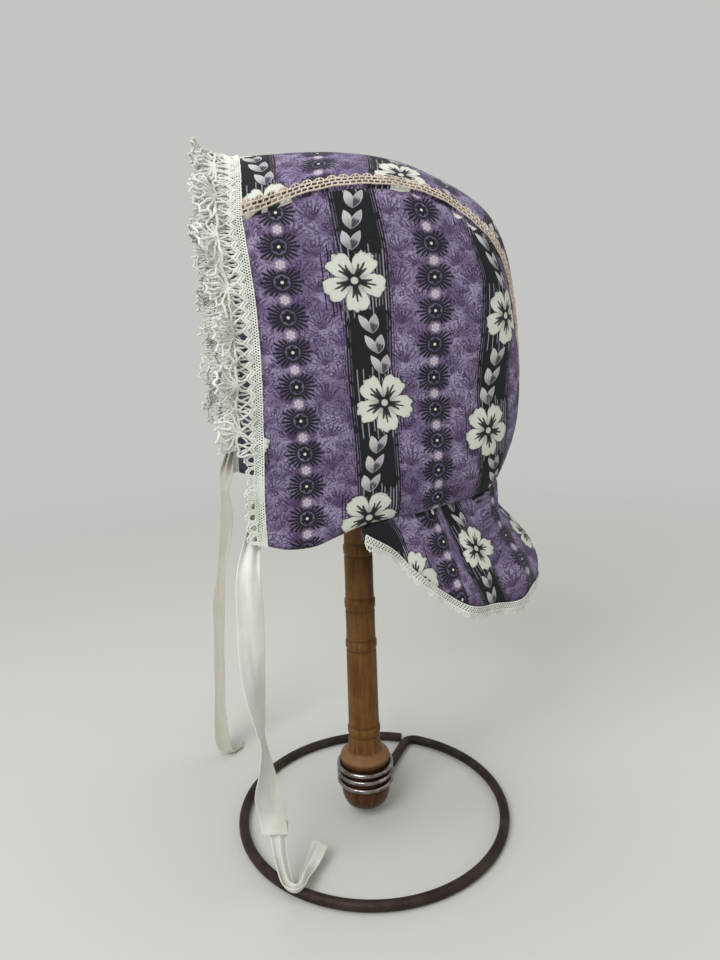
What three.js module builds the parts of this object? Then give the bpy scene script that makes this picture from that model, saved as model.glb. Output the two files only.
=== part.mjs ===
// Baby cap with a face ruffle, a neck curtain and two ribbon ties, hung on a wood bobbin
// that stands in a bent wire ring. Millimetres, +Z up. The cap's face looks along -X.
import * as THREE from "three";

// Driving dimensions
const gap = 0.3;             // clearance between neighbouring pieces
const seamGap = 0.15;        // half the clearance along a sewn seam
const clothWall = 2.0;       // printed cotton with its inner layer
const curtainWall = 1.5;     // the neck curtain is a lighter single layer with a turned hem
const laceWall = 1.0;
const trimWall = 0.8;        // narrow ladder lace over the crown seams
const ribbonWall = 1.0;
const ribbonWidth = 12.7;
const panelBulge = 6.5;      // how far the middle of a side panel swells outwards
const rearBulge = 11;        // how far it swells in front of its rear seam
const hangTilt = 4.5;        // degrees that the cap leans over on its bobbin
const hangHeight = 342;      // height of the point that the cap leans about

// The cap's own frame is symmetric about y = 0. Columns: the seam between side panel and
// crown band (x, half width y, z) and the crest of the crown band above it (x, z).
const crownStations = [
  { seamX: -54.5, seamY: 44.0, seamZ: 313.5, crestX: -51.0, crestZ: 342.5 },
  { seamX: -43.0, seamY: 44.5, seamZ: 317.5, crestX: -38.0, crestZ: 343.6 },
  { seamX: -29.0, seamY: 45.0, seamZ: 322.5, crestX: -22.0, crestZ: 344.9 },
  { seamX: -14.0, seamY: 45.0, seamZ: 325.8, crestX: -6.0, crestZ: 345.4 },
  { seamX: 2.0, seamY: 45.0, seamZ: 326.8, crestX: 10.0, crestZ: 344.5 },
  { seamX: 17.0, seamY: 45.0, seamZ: 325.3, crestX: 26.0, crestZ: 341.5 },
  { seamX: 31.0, seamY: 45.0, seamZ: 321.2, crestX: 42.0, crestZ: 335.5 },
  { seamX: 43.5, seamY: 45.0, seamZ: 314.0, crestX: 57.0, crestZ: 327.5 },
  { seamX: 55.0, seamY: 44.0, seamZ: 305.0, crestX: 69.0, crestZ: 317.0 },
  { seamX: 64.0, seamY: 40.0, seamZ: 293.5, crestX: 78.5, crestZ: 301.5 },
  { seamX: 71.5, seamY: 33.0, seamZ: 279.0, crestX: 83.8, crestZ: 284.0 },
  { seamX: 79.0, seamY: 24.5, seamZ: 261.0, crestX: 87.3, crestZ: 264.5 },
  { seamX: 84.0, seamY: 19.5, seamZ: 241.5, crestX: 89.4, crestZ: 243.0 },
  { seamX: 85.0, seamY: 18.0, seamZ: 223.5, crestX: 89.9, crestZ: 223.0 },
  { seamX: 82.5, seamY: 18.0, seamZ: 207.0, crestX: 87.8, crestZ: 205.5 },
  { seamX: 77.0, seamY: 19.0, seamZ: 193.5, crestX: 82.6, crestZ: 191.5 },
  { seamX: 74.5, seamY: 19.5, seamZ: 187.0, crestX: 79.5, crestZ: 184.5 },
];
const cornerStation = 9;     // where the seam turns from over the head to down the back
const overSteps = 12;        // steps of the seam over the head
const backSteps = 11;        // steps of the seam down the back
const acrossSteps = 12;      // steps from seam to seam across the crown band
const bandPower = 2.2;       // roundness of the crown band between its seams

// Front edge of a side panel, from the chin up to the crown seam.
const frontEdge = [
  { x: -52.9, y: 64.5, z: 178.0 },
  { x: -53.0, y: 62.3, z: 197.0 },
  { x: -51.9, y: 59.7, z: 222.0 },
  { x: -51.0, y: 56.2, z: 254.0 },
  { x: -51.6, y: 52.3, z: 280.0 },
  { x: -53.0, y: 49.0, z: 297.0 },
  { x: -54.5, y: 44.0, z: 313.5 },
];

// Lower edge of a side panel, from the chin back to the nape.
const lowerEdge = [
  { x: -52.9, y: 64.5, z: 178.0 },
  { x: -43.5, y: 64.4, z: 175.2 },
  { x: -32.0, y: 63.4, z: 174.9 },
  { x: -21.0, y: 62.3, z: 178.0 },
  { x: -9.5, y: 61.4, z: 181.6 },
  { x: 5.0, y: 59.0, z: 183.0 },
  { x: 20.0, y: 54.6, z: 182.6 },
  { x: 34.0, y: 50.0, z: 183.4 },
  { x: 48.5, y: 45.5, z: 184.6 },
  { x: 62.5, y: 37.0, z: 186.6 },
  { x: 74.5, y: 19.5, z: 187.0 },
];
const curtainStart = 4;      // row of the lower edge where the neck curtain begins

// Hem of the neck curtain, from its front end to the middle of the back.
const curtainHem = [
  { x: -10.6, y: 62.4, z: 179.6 },
  { x: 1.5, y: 62.0, z: 170.5 },
  { x: 15.0, y: 62.2, z: 158.0 },
  { x: 31.0, y: 61.5, z: 142.5 },
  { x: 46.5, y: 59.0, z: 133.5 },
  { x: 63.5, y: 52.5, z: 129.0 },
  { x: 82.0, y: 41.5, z: 126.0 },
  { x: 99.5, y: 23.5, z: 125.5 },
  { x: 108.5, y: 0.0, z: 125.5 },
];
// How far the curtain stands out of a straight drop, as a share of its flare.
const curtainDrop = [
  { down: 0.0, out: 0.0 },
  { down: 0.14, out: -0.1 },
  { down: 0.28, out: -0.15 },
  { down: 0.42, out: 0.0 },
  { down: 0.56, out: 0.13 },
  { down: 0.7, out: 0.2 },
  { down: 0.86, out: 0.15 },
  { down: 1.0, out: 0.0 },
];
const curtainSteps = 30;     // steps round the neck
const curtainWaves = { count: 9, height: 1.4 };

// Laces
const heading = { width: 5.2, inset: 0.4, steps: 44 };
const ruffle = {
  from: 0.105, to: 0.895,    // share of the face edge that the wide ruffle covers
  scallops: 16, columns: 8,
  lean: 0.12,                // how far it opens outwards, per millimetre of width
  wave: 2.2, waves: 11,
};
// Rows of the ruffle outwards from the heading: reach in mm, and how much of the scallop's
// point each row shows.
const ruffleRows = [
  { reach: 0.0, point: 0 },
  { reach: 1.1, point: 0 },
  { reach: 4.6, point: 0 },
  { reach: 5.8, point: 0 },
  { reach: 9.0, point: 1.9 },
  { reach: 10.6, point: 2.6 },
];
const edging = { from: 0.004, to: 0.098, width: 4.4, dip: 1.4, scallops: 8 };
const hemLace = { width: 4.8, dip: 1.3, perStep: 2 };
const seamLace = { width: 5.0, lift: 0.4, inset: 0.9 };

// Tie ribbons. Columns: centre of the ribbon, the bearing of its width in degrees, and how
// much of the full width it keeps where it is crumpled.
const tieLeftRoute = [
  { x: -54.5, y: -46.8, z: 192, bearing: 0, spread: 1 },
  { x: -56.5, y: -46.9, z: 184, bearing: 0, spread: 1 },
  { x: -58.6, y: -47.8, z: 176, bearing: 0, spread: 1 },
  { x: -60.8, y: -50.6, z: 167, bearing: 2, spread: 1 },
  { x: -62.0, y: -53.8, z: 158, bearing: 5, spread: 1 },
  { x: -62.3, y: -55.6, z: 147, bearing: 10, spread: 1 },
  { x: -62.6, y: -57.0, z: 131, bearing: 20, spread: 1 },
  { x: -62.6, y: -57.0, z: 116, bearing: 32, spread: 1 },
  { x: -62.0, y: -56.4, z: 104, bearing: 48, spread: 1 },
  { x: -61.2, y: -55.4, z: 92, bearing: 64, spread: 1 },
  { x: -60.8, y: -54.2, z: 82, bearing: 70, spread: 1 },
  { x: -60.3, y: -52.2, z: 67, bearing: 46, spread: 1 },
  { x: -59.0, y: -48.6, z: 48, bearing: 2, spread: 1 },
  { x: -57.6, y: -45.6, z: 33, bearing: -12, spread: 1 },
  { x: -56.3, y: -47.2, z: 25, bearing: -12, spread: 0.9 },
  { x: -54.8, y: -50.4, z: 15, bearing: -10, spread: 0.7 },
  { x: -53.2, y: -54.0, z: 8.6, bearing: 10, spread: 0.5 },
  { x: -49.8, y: -56.4, z: 6.8, bearing: 60, spread: 0.42 },
  { x: -46.2, y: -54.2, z: 6.5, bearing: 110, spread: 0.45 },
  { x: -43.8, y: -49.0, z: 6.4, bearing: 128, spread: 0.7 },
  { x: -40.4, y: -43.0, z: 5.0, bearing: 128, spread: 0.95 },
  { x: -36.4, y: -37.0, z: 6.4, bearing: 128, spread: 1 },
  { x: -32.6, y: -31.4, z: 8.6, bearing: 130, spread: 1 },
];
const tieRightRoute = [
  { x: -57.0, y: 69.9, z: 204, bearing: 0, spread: 1 },
  { x: -58.6, y: 70.3, z: 198, bearing: 0, spread: 1 },
  { x: -60.2, y: 71.0, z: 190, bearing: -4, spread: 1 },
  { x: -61.8, y: 72.4, z: 182, bearing: 8, spread: 1 },
  { x: -62.8, y: 74.8, z: 174, bearing: 50, spread: 1 },
  { x: -62.4, y: 76.6, z: 166, bearing: 58, spread: 1 },
  { x: -63.0, y: 77.0, z: 156, bearing: 48, spread: 1 },
  { x: -64.4, y: 77.2, z: 143, bearing: 56, spread: 1 },
  { x: -67.2, y: 77.6, z: 124, bearing: 44, spread: 1 },
  { x: -70.0, y: 78.0, z: 104, bearing: 46, spread: 1 },
  { x: -71.0, y: 78.4, z: 84, bearing: 52, spread: 1 },
  { x: -73.0, y: 78.8, z: 61, bearing: 50, spread: 1 },
  { x: -74.6, y: 79.0, z: 38, bearing: 44, spread: 1 },
  { x: -75.0, y: 79.0, z: 20, bearing: 30, spread: 1 },
  { x: -74.6, y: 78.4, z: 8, bearing: 14, spread: 1 },
  { x: -72.6, y: 77.0, z: 2.2, bearing: 20, spread: 0.9 },
  { x: -69.6, y: 78.0, z: 0.9, bearing: 60, spread: 0.6 },
  { x: -66.0, y: 80.4, z: 0.9, bearing: 100, spread: 0.6 },
  { x: -62.4, y: 83.4, z: 3.0, bearing: 120, spread: 0.8 },
];

// Stand
const wire = { diameter: 5.3, ringRadius: 72, ringX: 3.2, ringY: -3.9, sides: 8 };
const wireEnds = { cutAngle: 64, armAngle: 57, cornerRadius: 6, postRadius: 5, postTop: 36 };
const bobbinBase = wire.diameter + gap;
const bobbinSides = 16;
const bore = { radius: 3.2, mouthRadius: 5.4, mouthDepth: 2.6, top: 38 };
const steelRing = { radius: 14.4, section: 1.3, heights: [19.8, 24.6, 28.9], sides: 20, sectionSides: 6 };
// Outline of the bobbin above its ringed butt: radius and height, grooves in pairs.
const butt = [
  { radius: 9.6, z: bobbinBase },
  { radius: 12.2, z: 8.4 },
  { radius: 13.4, z: 13.0 },
  { radius: 13.4, z: 17.2 },
  { radius: 12.7, z: 17.9 },
  { radius: 12.7, z: 30.6 },
  { radius: 13.7, z: 31.2 },
  { radius: 13.5, z: 34.6 },
  { radius: 12.2, z: 35.8 },
  { radius: 8.9, z: 39.2 },
];
const grooves = { heights: [47.0, 52.8, 97.0, 103.0, 119.4, 126.4, 149.4, 156.2], half: 0.7, depth: 0.45 };
const barrel = { bottomZ: 40, bottomRadius: 8.7, topZ: 330, topRadius: 5.6 };

const colours = {
  print: 0x75648c,
  lace: 0xdcdfda,
  trim: 0xcfbba8,
  ribbon: 0xdcdcd0,
  wood: 0x8a5a34,
  steel: 0x8f8a86,
  wire: 0x3a2c27,
};

// Smooth reading of a table of named columns at a position between its rows.
function readTable(rows, position) {
  const last = rows.length - 1;
  const at = Math.min(Math.max(position, 0), last);
  const row = Math.min(Math.floor(at), last - 1);
  const share = at - row;
  const before = rows[Math.max(row - 1, 0)];
  const after = rows[Math.min(row + 2, last)];
  const result = {};
  for (const column of Object.keys(rows[0])) {
    const [a, b, c, d] = [before[column], rows[row][column], rows[row + 1][column], after[column]];
    const bend = (2 * a - 5 * b + 4 * c - d) * share + (3 * b - a - 3 * c + d) * share * share;
    result[column] = b + 0.5 * share * (c - a + bend);
  }
  return result;
}

function pointOf({ x, y, z }) {
  return new THREE.Vector3(x, y, z);
}

// A grid of points made by calling a function for every row and column.
function makeGrid(rows, columns, pointAt) {
  const grid = [];
  for (let i = 0; i <= rows; i += 1) {
    const line = [];
    for (let j = 0; j <= columns; j += 1) line.push(pointAt(i, j));
    grid.push(line);
  }
  return grid;
}

// Unit normals of a grid from its neighbours, pointing along (row step) x (column step).
function gridNormals(grid) {
  const rows = grid.length - 1;
  const columns = grid[0].length - 1;
  return makeGrid(rows, columns, (i, j) => {
    const down = grid[Math.min(i + 1, rows)][j].clone().sub(grid[Math.max(i - 1, 0)][j]);
    const along = grid[i][Math.min(j + 1, columns)].clone().sub(grid[i][Math.max(j - 1, 0)]);
    return down.cross(along).normalize();
  });
}

// A closed wall between an outer grid and an inner grid. Cells that keep() refuses are gaps
// right through the wall. The outer face looks along (row step) x (column step).
function wallBetween(outer, inner, keep = () => true) {
  const rows = outer.length - 1;
  const columns = outer[0].length - 1;
  const positions = [];
  const indices = [];
  const used = new Map();
  const vertex = (layer, i, j) => {
    const key = `${layer} ${i} ${j}`;
    if (!used.has(key)) {
      used.set(key, positions.length / 3);
      const point = (layer === 0 ? outer : inner)[i][j];
      positions.push(point.x, point.y, point.z);
    }
    return used.get(key);
  };
  const quad = (a, b, c, d) => indices.push(a, b, c, a, c, d);
  const solid = (i, j) => i >= 0 && j >= 0 && i < rows && j < columns && keep(i, j);
  const rim = (i0, j0, i1, j1) => {
    quad(vertex(0, i0, j0), vertex(1, i0, j0), vertex(1, i1, j1), vertex(0, i1, j1));
  };
  for (let i = 0; i < rows; i += 1) {
    for (let j = 0; j < columns; j += 1) {
      if (!solid(i, j)) continue;
      const corners = [[i, j], [i + 1, j], [i + 1, j + 1], [i, j + 1]];
      quad(...corners.map(([a, b]) => vertex(0, a, b)));
      quad(...corners.reverse().map(([a, b]) => vertex(1, a, b)));
      if (!solid(i, j - 1)) rim(i, j, i + 1, j);
      if (!solid(i + 1, j)) rim(i + 1, j, i + 1, j + 1);
      if (!solid(i, j + 1)) rim(i + 1, j + 1, i, j + 1);
      if (!solid(i - 1, j)) rim(i, j + 1, i, j);
    }
  }
  const geometry = new THREE.BufferGeometry();
  geometry.setAttribute("position", new THREE.Float32BufferAttribute(positions, 3));
  geometry.setIndex(indices);
  return geometry;
}

// A wall of even thickness under a grid, measured inwards along its normals.
function wallUnder(grid, normals, thickness, keep) {
  const rows = grid.length - 1;
  const columns = grid[0].length - 1;
  const inner = makeGrid(rows, columns, (i, j) =>
    grid[i][j].clone().addScaledVector(normals[i][j], -thickness));
  return wallBetween(grid, inner, keep);
}

// The mirror image of a geometry across the cap's middle plane.
function mirrored(geometry) {
  const copy = geometry.clone();
  copy.scale(1, -1, 1);
  const index = copy.getIndex();
  for (let i = 0; i < index.count; i += 3) {
    const first = index.getX(i);
    index.setX(i, index.getX(i + 1));
    index.setX(i + 1, first);
  }
  return copy;
}

// Positions in crownStations of the steps along the crown seam.
function seamStep(step) {
  if (step <= overSteps) return (step / overSteps) * cornerStation;
  const stations = crownStations.length - 1 - cornerStation;
  return cornerStation + ((step - overSteps) / backSteps) * stations;
}

// A point of the crown band: step along the seam, and side from -1 (left seam) to 1.
function crownPoint(step, side) {
  const station = readTable(crownStations, seamStep(step));
  const fall = Math.abs(side) ** bandPower;
  return new THREE.Vector3(
    THREE.MathUtils.lerp(station.crestX, station.seamX, fall),
    station.seamY * side,
    THREE.MathUtils.lerp(station.crestZ, station.seamZ, fall),
  );
}

const seamSteps = overSteps + backSteps;

// The direction that splits the corner between the crown band and the left side panel.
function seamNormal(step) {
  const here = crownPoint(step, -1);
  const along = crownPoint(Math.min(step + 0.5, seamSteps), -1).sub(crownPoint(Math.max(step - 0.5, 0), -1));
  const across = crownPoint(step, -0.9).sub(here);
  const band = along.cross(across).normalize();
  if (band.z < 0 && band.x < 0) band.negate();
  return band.add(new THREE.Vector3(0, -1, 0)).normalize();
}

// Pulls the outermost points of a grid back from a sewn edge.
function pullBack(point, neighbour, amount) {
  return point.clone().add(neighbour.clone().sub(point).setLength(amount));
}

function crownBand() {
  const grid = makeGrid(seamSteps, acrossSteps, (i, j) => crownPoint(i, (2 * j) / acrossSteps - 1));
  const normals = gridNormals(grid);
  grid.forEach((line, i) => {
    const left = seamNormal(i);
    normals[i][0] = left;
    normals[i][acrossSteps] = left.clone().multiply(new THREE.Vector3(1, -1, 1));
    line[0] = pullBack(line[0], line[1], seamGap);
    line[acrossSteps] = pullBack(line[acrossSteps], line[acrossSteps - 1], seamGap);
  });
  normals[seamSteps].forEach((normal) => normal.setZ(0).normalize());
  return wallUnder(grid, normals, clothWall);
}

// The left side panel is stretched between its front edge, lower edge and the crown seam.
function sidePanelGrid() {
  const flip = (row) => new THREE.Vector3(row.x, -row.y, row.z);
  const front = (v) => flip(readTable(frontEdge, v * (frontEdge.length - 1)));
  const lower = (u) => flip(readTable(lowerEdge, u * (lowerEdge.length - 1)));
  const over = (u) => crownPoint(u * overSteps, -1);
  const back = (v) => crownPoint(seamSteps - v * backSteps, -1);
  return makeGrid(backSteps, overSteps, (i, j) => {
    const v = 1 - i / backSteps;
    const u = j / overSteps;
    const point = lower(u).multiplyScalar(1 - v).addScaledVector(over(u), v);
    point.addScaledVector(front(v), 1 - u).addScaledVector(back(v), u);
    point.addScaledVector(front(0), -(1 - u) * (1 - v)).addScaledVector(front(1), -(1 - u) * v);
    point.addScaledVector(back(0), -u * (1 - v)).addScaledVector(back(1), -u * v);
    point.y -= panelBulge * 16 * u * (1 - u) * v * (1 - v);
    point.y -= rearBulge * 12.2 * u ** 4 * (1 - u) * 4 * v * (1 - v);
    return point;
  });
}

function sidePanel() {
  const grid = sidePanelGrid();
  const normals = gridNormals(grid);
  for (let j = 0; j <= overSteps; j += 1) {
    normals[0][j] = seamNormal(j);
    grid[0][j] = pullBack(grid[0][j], grid[1][j], seamGap);
    normals[backSteps][j].setZ(0).normalize();
  }
  for (let i = 0; i <= backSteps; i += 1) {
    normals[i][overSteps] = seamNormal(overSteps + i);
    if (i > 0) grid[i][overSteps] = pullBack(grid[i][overSteps], grid[i][overSteps - 1], seamGap);
  }
  normals[backSteps][overSteps].setZ(0).normalize();
  return wallUnder(grid, normals, clothWall);
}

// The neck line from the left front end of the curtain (0) round the back to the right (1).
function neckPoint(share) {
  const half = 1 - Math.abs(2 * share - 1);
  const sign = share < 0.5 ? -1 : 1;
  const lowerPart = 0.72;
  let point;
  if (half < lowerPart) {
    const rows = lowerEdge.length - 1 - curtainStart;
    point = pointOf(readTable(lowerEdge, curtainStart + (half / lowerPart) * rows));
  } else {
    point = crownPoint(seamSteps, 1 - (half - lowerPart) / (1 - lowerPart));
  }
  return new THREE.Vector3(point.x, sign * Math.abs(point.y), point.z - gap - 0.1);
}

function hemPoint(share) {
  const half = 1 - Math.abs(2 * share - 1);
  const sign = share < 0.5 ? -1 : 1;
  const point = pointOf(readTable(curtainHem, half * (curtainHem.length - 1)));
  point.y *= sign;
  return point;
}

function curtainPoint(share, row) {
  const { down, out } = readTable(curtainDrop, row);
  const neck = neckPoint(share);
  const hem = hemPoint(share);
  const flare = hem.clone().sub(neck).setZ(0);
  const wave = curtainWaves.height * Math.sin(share * curtainWaves.count * 2 * Math.PI) * down;
  const side = flare.length() > 1 ? flare.clone().normalize() : new THREE.Vector3();
  return neck.lerp(hem, down).addScaledVector(flare, out).addScaledVector(side, wave);
}

function curtainGrid(steps) {
  return makeGrid(curtainDrop.length - 1, steps, (i, j) => curtainPoint(j / steps, i));
}

function neckCurtain() {
  const grid = curtainGrid(curtainSteps);
  const normals = gridNormals(grid);
  normals[0].forEach((normal) => normal.setZ(0).normalize());
  return wallUnder(grid, normals, curtainWall);
}

// The face edge of the cap from the left chin over the crown to the right chin.
function faceEdge() {
  const points = [];
  const rows = frontEdge.length - 1;
  for (let i = 0; i < rows; i += 1) points.push(pointOf({ ...frontEdge[i], y: -frontEdge[i].y }));
  for (let j = 0; j <= acrossSteps; j += 2) points.push(crownPoint(0, -1 + (2 * j) / acrossSteps));
  for (let i = rows - 1; i >= 0; i -= 1) points.push(pointOf(frontEdge[i]));
  return new THREE.CatmullRomCurve3(points, false, "centripetal");
}

// Points of a lace that stands forward of the face edge. The share runs along the edge, the
// reach goes forward and the lift goes outwards.
function facePoint(curve, share, reach, lift) {
  const edge = curve.getPointAt(share);
  const along = curve.getTangentAt(share);
  const outwards = new THREE.Vector3(0, along.z, -along.y).normalize().negate();
  return edge.add(new THREE.Vector3(-reach, 0, 0)).addScaledVector(outwards, lift);
}

// A lace wall forward of the face edge between two shares of its length.
function faceLace(from, to, columns, rows, liftAt, reachAt, keep) {
  const curve = faceEdge();
  const layer = (depth) => makeGrid(rows, columns, (i, j) => {
    const share = from + ((to - from) * j) / columns;
    return facePoint(curve, share, reachAt(i, j), liftAt(i, j) - heading.inset - depth);
  });
  return wallBetween(layer(laceWall), layer(0), keep);
}

function faceHeading() {
  const reach = (i) => gap + i * heading.width;
  return faceLace(0, 1, heading.steps, 1, () => 0, reach);
}

const ruffleStart = heading.width + 2 * gap;

// Openwork ruffle: fans on a line of hubs, with a coarse net between hubs and heading.
function faceRuffle() {
  const columns = ruffle.scallops * ruffle.columns;
  const phase = (j) => (j % ruffle.columns) / ruffle.columns;
  const reach = (i, j) => {
    const { reach: base, point } = ruffleRows[i];
    return ruffleStart + base + point * Math.sin(Math.PI * phase(j)) ** 2;
  };
  const lift = (i, j) => {
    const out = reach(i, j) - ruffleStart;
    const wave = Math.sin((j / columns) * ruffle.waves * 2 * Math.PI);
    return out * ruffle.lean + ruffle.wave * wave * (out / 12) ** 2;
  };
  const keep = (i, j) => {
    const column = j % ruffle.columns;
    if (i === 1) return ![1, 2, 5, 6].includes(column);
    if (i === 3) return ![1, 3, 4, 6].includes(column);
    return true;
  };
  return faceLace(ruffle.from, ruffle.to, columns, ruffleRows.length - 1, lift, reach, keep);
}

// Short scalloped edging below the ruffle on the left cheek.
function cheekEdging() {
  const columns = edging.scallops * 2;
  const reach = (i, j) => ruffleStart + i * (edging.width - (j % 2 === 0 ? edging.dip : 0));
  return faceLace(edging.from, edging.to, columns, 1, () => 0, reach);
}

// Scalloped edging that follows the straight steps of the curtain's hem.
function curtainLace() {
  const rows = curtainDrop.length - 1;
  const curtain = curtainGrid(curtainSteps);
  const columns = (curtainSteps - 2) * hemLace.perStep;
  const along = (row, j) => {
    const step = 1 + Math.floor(j / hemLace.perStep);
    const next = Math.min(step + 1, curtainSteps);
    return curtain[row][step].clone().lerp(curtain[row][next], (j % hemLace.perStep) / hemLace.perStep);
  };
  const outer = makeGrid(1, columns, (i, j) => {
    const hem = along(rows, j);
    const fall = hem.clone().sub(along(rows - 1, j)).normalize();
    const reach = i === 0 ? gap : gap + hemLace.width - (j % 2 === 0 ? hemLace.dip : 0);
    return hem.addScaledVector(fall, reach);
  });
  return wallUnder(outer, gridNormals(outer), laceWall);
}

// Ladder lace laid on the crown band along the left seam.
function crownSeamLace() {
  const sideAt = (step, out) => {
    const halfBand = crownPoint(step, -1).distanceTo(crownPoint(step, 0));
    return -1 + (seamLace.inset + out) / halfBand;
  };
  const grid = makeGrid(seamSteps, 2, (i, j) => crownPoint(i, sideAt(i, (seamLace.width * j) / 2)));
  const normals = gridNormals(grid);
  const layer = (height) => makeGrid(seamSteps, 2, (i, j) =>
    grid[i][j].clone().addScaledVector(normals[i][j], height));
  return wallBetween(layer(seamLace.lift + trimWall), layer(seamLace.lift));
}

// A flat ribbon along a route, its width turned by each row's bearing.
function ribbon(route) {
  const line = route.map(pointOf);
  const grid = makeGrid(route.length - 1, 1, (i, j) => {
    const bearing = THREE.MathUtils.degToRad(route[i].bearing);
    const width = new THREE.Vector3(Math.cos(bearing), Math.sin(bearing), 0);
    const half = (ribbonWidth * route[i].spread) / 2;
    return line[i].clone().addScaledVector(width, j === 0 ? -half : half);
  });
  const normals = gridNormals(grid);
  const layer = (height) => makeGrid(route.length - 1, 1, (i, j) =>
    grid[i][j].clone().addScaledVector(normals[i][j], height));
  return wallBetween(layer(ribbonWall / 2), layer(-ribbonWall / 2));
}

// Corner points of a quarter bend between two directions, away from its corner.
function bend(corner, from, to, radius, steps) {
  const centre = corner.clone().addScaledVector(from, -radius).addScaledVector(to, radius);
  const points = [];
  for (let i = 0; i <= steps; i += 1) {
    const angle = (i / steps) * (Math.PI / 2);
    const point = centre.clone().addScaledVector(to, -radius * Math.cos(angle));
    points.push(point.addScaledVector(from, radius * Math.sin(angle)));
  }
  return points;
}

// One length of wire: round the ring, in along an arm, and up into the bobbin.
function baseWire() {
  const level = wire.diameter / 2;
  const ringPoint = (degrees, radius) => {
    const angle = THREE.MathUtils.degToRad(degrees);
    const x = wire.ringX + radius * Math.cos(angle);
    return new THREE.Vector3(x, wire.ringY + radius * Math.sin(angle), level);
  };
  const ringSteps = 52;
  const cornerAngle = THREE.MathUtils.radToDeg(wireEnds.cornerRadius / wire.ringRadius);
  const sweep = 360 + wireEnds.armAngle - wireEnds.cutAngle - cornerAngle;
  const points = [];
  for (let i = 0; i <= ringSteps; i += 1) {
    points.push(ringPoint(wireEnds.cutAngle + (sweep * i) / ringSteps, wire.ringRadius));
  }
  const corner = ringPoint(wireEnds.armAngle, wire.ringRadius);
  const centre = new THREE.Vector3(0, 0, level);
  const inwards = centre.clone().sub(corner).normalize();
  const tangent = new THREE.Vector3(inwards.y, -inwards.x, 0);
  points.push(...bend(corner, tangent, inwards, wireEnds.cornerRadius, 4).slice(1));
  points.push(corner.clone().lerp(centre, 0.4), corner.clone().lerp(centre, 0.7));
  points.push(...bend(centre, inwards, new THREE.Vector3(0, 0, 1), wireEnds.postRadius, 4));
  points.push(new THREE.Vector3(0, 0, 22), new THREE.Vector3(0, 0, wireEnds.postTop));

  const path = new THREE.CatmullRomCurve3(points, false, "centripetal");
  path.getPointAt = path.getPoint;
  path.getTangentAt = path.getTangent;
  const section = new THREE.Shape();
  const corners = [];
  for (let i = 0; i < wire.sides; i += 1) {
    const angle = ((i + 0.5) / wire.sides) * 2 * Math.PI;
    const reach = level / Math.cos(Math.PI / wire.sides);
    corners.push(new THREE.Vector2(reach * Math.cos(angle), reach * Math.sin(angle)));
  }
  section.setFromPoints(corners);
  const options = { steps: points.length - 1, bevelEnabled: false, extrudePath: path };
  return new THREE.ExtrudeGeometry(section, options);
}

function barrelRadius(z) {
  const share = (z - barrel.bottomZ) / (barrel.topZ - barrel.bottomZ);
  return THREE.MathUtils.lerp(barrel.bottomRadius, barrel.topRadius, share);
}

function bobbin() {
  const crownInside = readTable(crownStations, 3.4).crestZ - clothWall - gap;
  const mouthTop = bobbinBase + bore.mouthDepth;
  const outline = [
    [0, bore.top], [bore.radius, bore.top], [bore.radius, mouthTop],
    [bore.mouthRadius, mouthTop], [bore.mouthRadius, bobbinBase],
  ];
  for (const { radius, z } of butt) outline.push([radius, z]);
  for (const z of grooves.heights) {
    outline.push([barrelRadius(z), z - grooves.half], [barrelRadius(z) - grooves.depth, z]);
    outline.push([barrelRadius(z), z + grooves.half]);
  }
  outline.push([barrel.topRadius, barrel.topZ], [barrel.topRadius, crownInside - 4]);
  outline.push([barrel.topRadius * 0.7, crownInside - 1.2], [0, crownInside]);
  const points = outline.map(([radius, z]) => new THREE.Vector2(radius, z));
  return new THREE.LatheGeometry(points, bobbinSides).rotateX(Math.PI / 2);
}

function bobbinRing() {
  const { radius, section, sides, sectionSides } = steelRing;
  const outline = [];
  for (let i = 0; i <= sectionSides; i += 1) {
    const angle = (i / sectionSides) * 2 * Math.PI;
    outline.push(new THREE.Vector2(radius + section * Math.cos(angle), section * Math.sin(angle)));
  }
  return new THREE.LatheGeometry(outline, sides).rotateX(Math.PI / 2);
}

function namedMesh(name, geometry, colour, roughness, metalness = 0) {
  const material = new THREE.MeshStandardMaterial({ color: colour, roughness, metalness });
  const mesh = new THREE.Mesh(geometry, material);
  mesh.name = name;
  return mesh;
}

// The cap in its own symmetric frame, then leaned over about the top of the bobbin.
function buildCap() {
  const cap = new THREE.Group();
  const panel = sidePanel();
  const lace = crownSeamLace();
  const cheek = cheekEdging();
  cap.add(
    namedMesh("side_panel_left", panel, colours.print, 0.85),
    namedMesh("side_panel_right", mirrored(panel), colours.print, 0.85),
    namedMesh("crown_band", crownBand(), colours.print, 0.85),
    namedMesh("neck_curtain", neckCurtain(), colours.print, 0.85),
    namedMesh("seam_lace_left", lace, colours.trim, 0.9),
    namedMesh("seam_lace_right", mirrored(lace), colours.trim, 0.9),
    namedMesh("face_heading", faceHeading(), colours.lace, 0.9),
    namedMesh("face_ruffle", faceRuffle(), colours.lace, 0.9),
    namedMesh("cheek_edging_left", cheek, colours.lace, 0.9),
    namedMesh("cheek_edging_right", mirrored(cheek), colours.lace, 0.9),
    namedMesh("curtain_lace", curtainLace(), colours.lace, 0.9),
  );
  cap.children.forEach((mesh) => mesh.position.set(0, 0, -hangHeight));
  cap.position.set(0, 0, hangHeight);
  cap.rotation.x = THREE.MathUtils.degToRad(hangTilt);
  return cap;
}

function buildTies() {
  const ties = new THREE.Group();
  ties.add(
    namedMesh("tie_ribbon_left", ribbon(tieLeftRoute), colours.ribbon, 0.55),
    namedMesh("tie_ribbon_right", ribbon(tieRightRoute), colours.ribbon, 0.55),
  );
  return ties;
}

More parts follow.
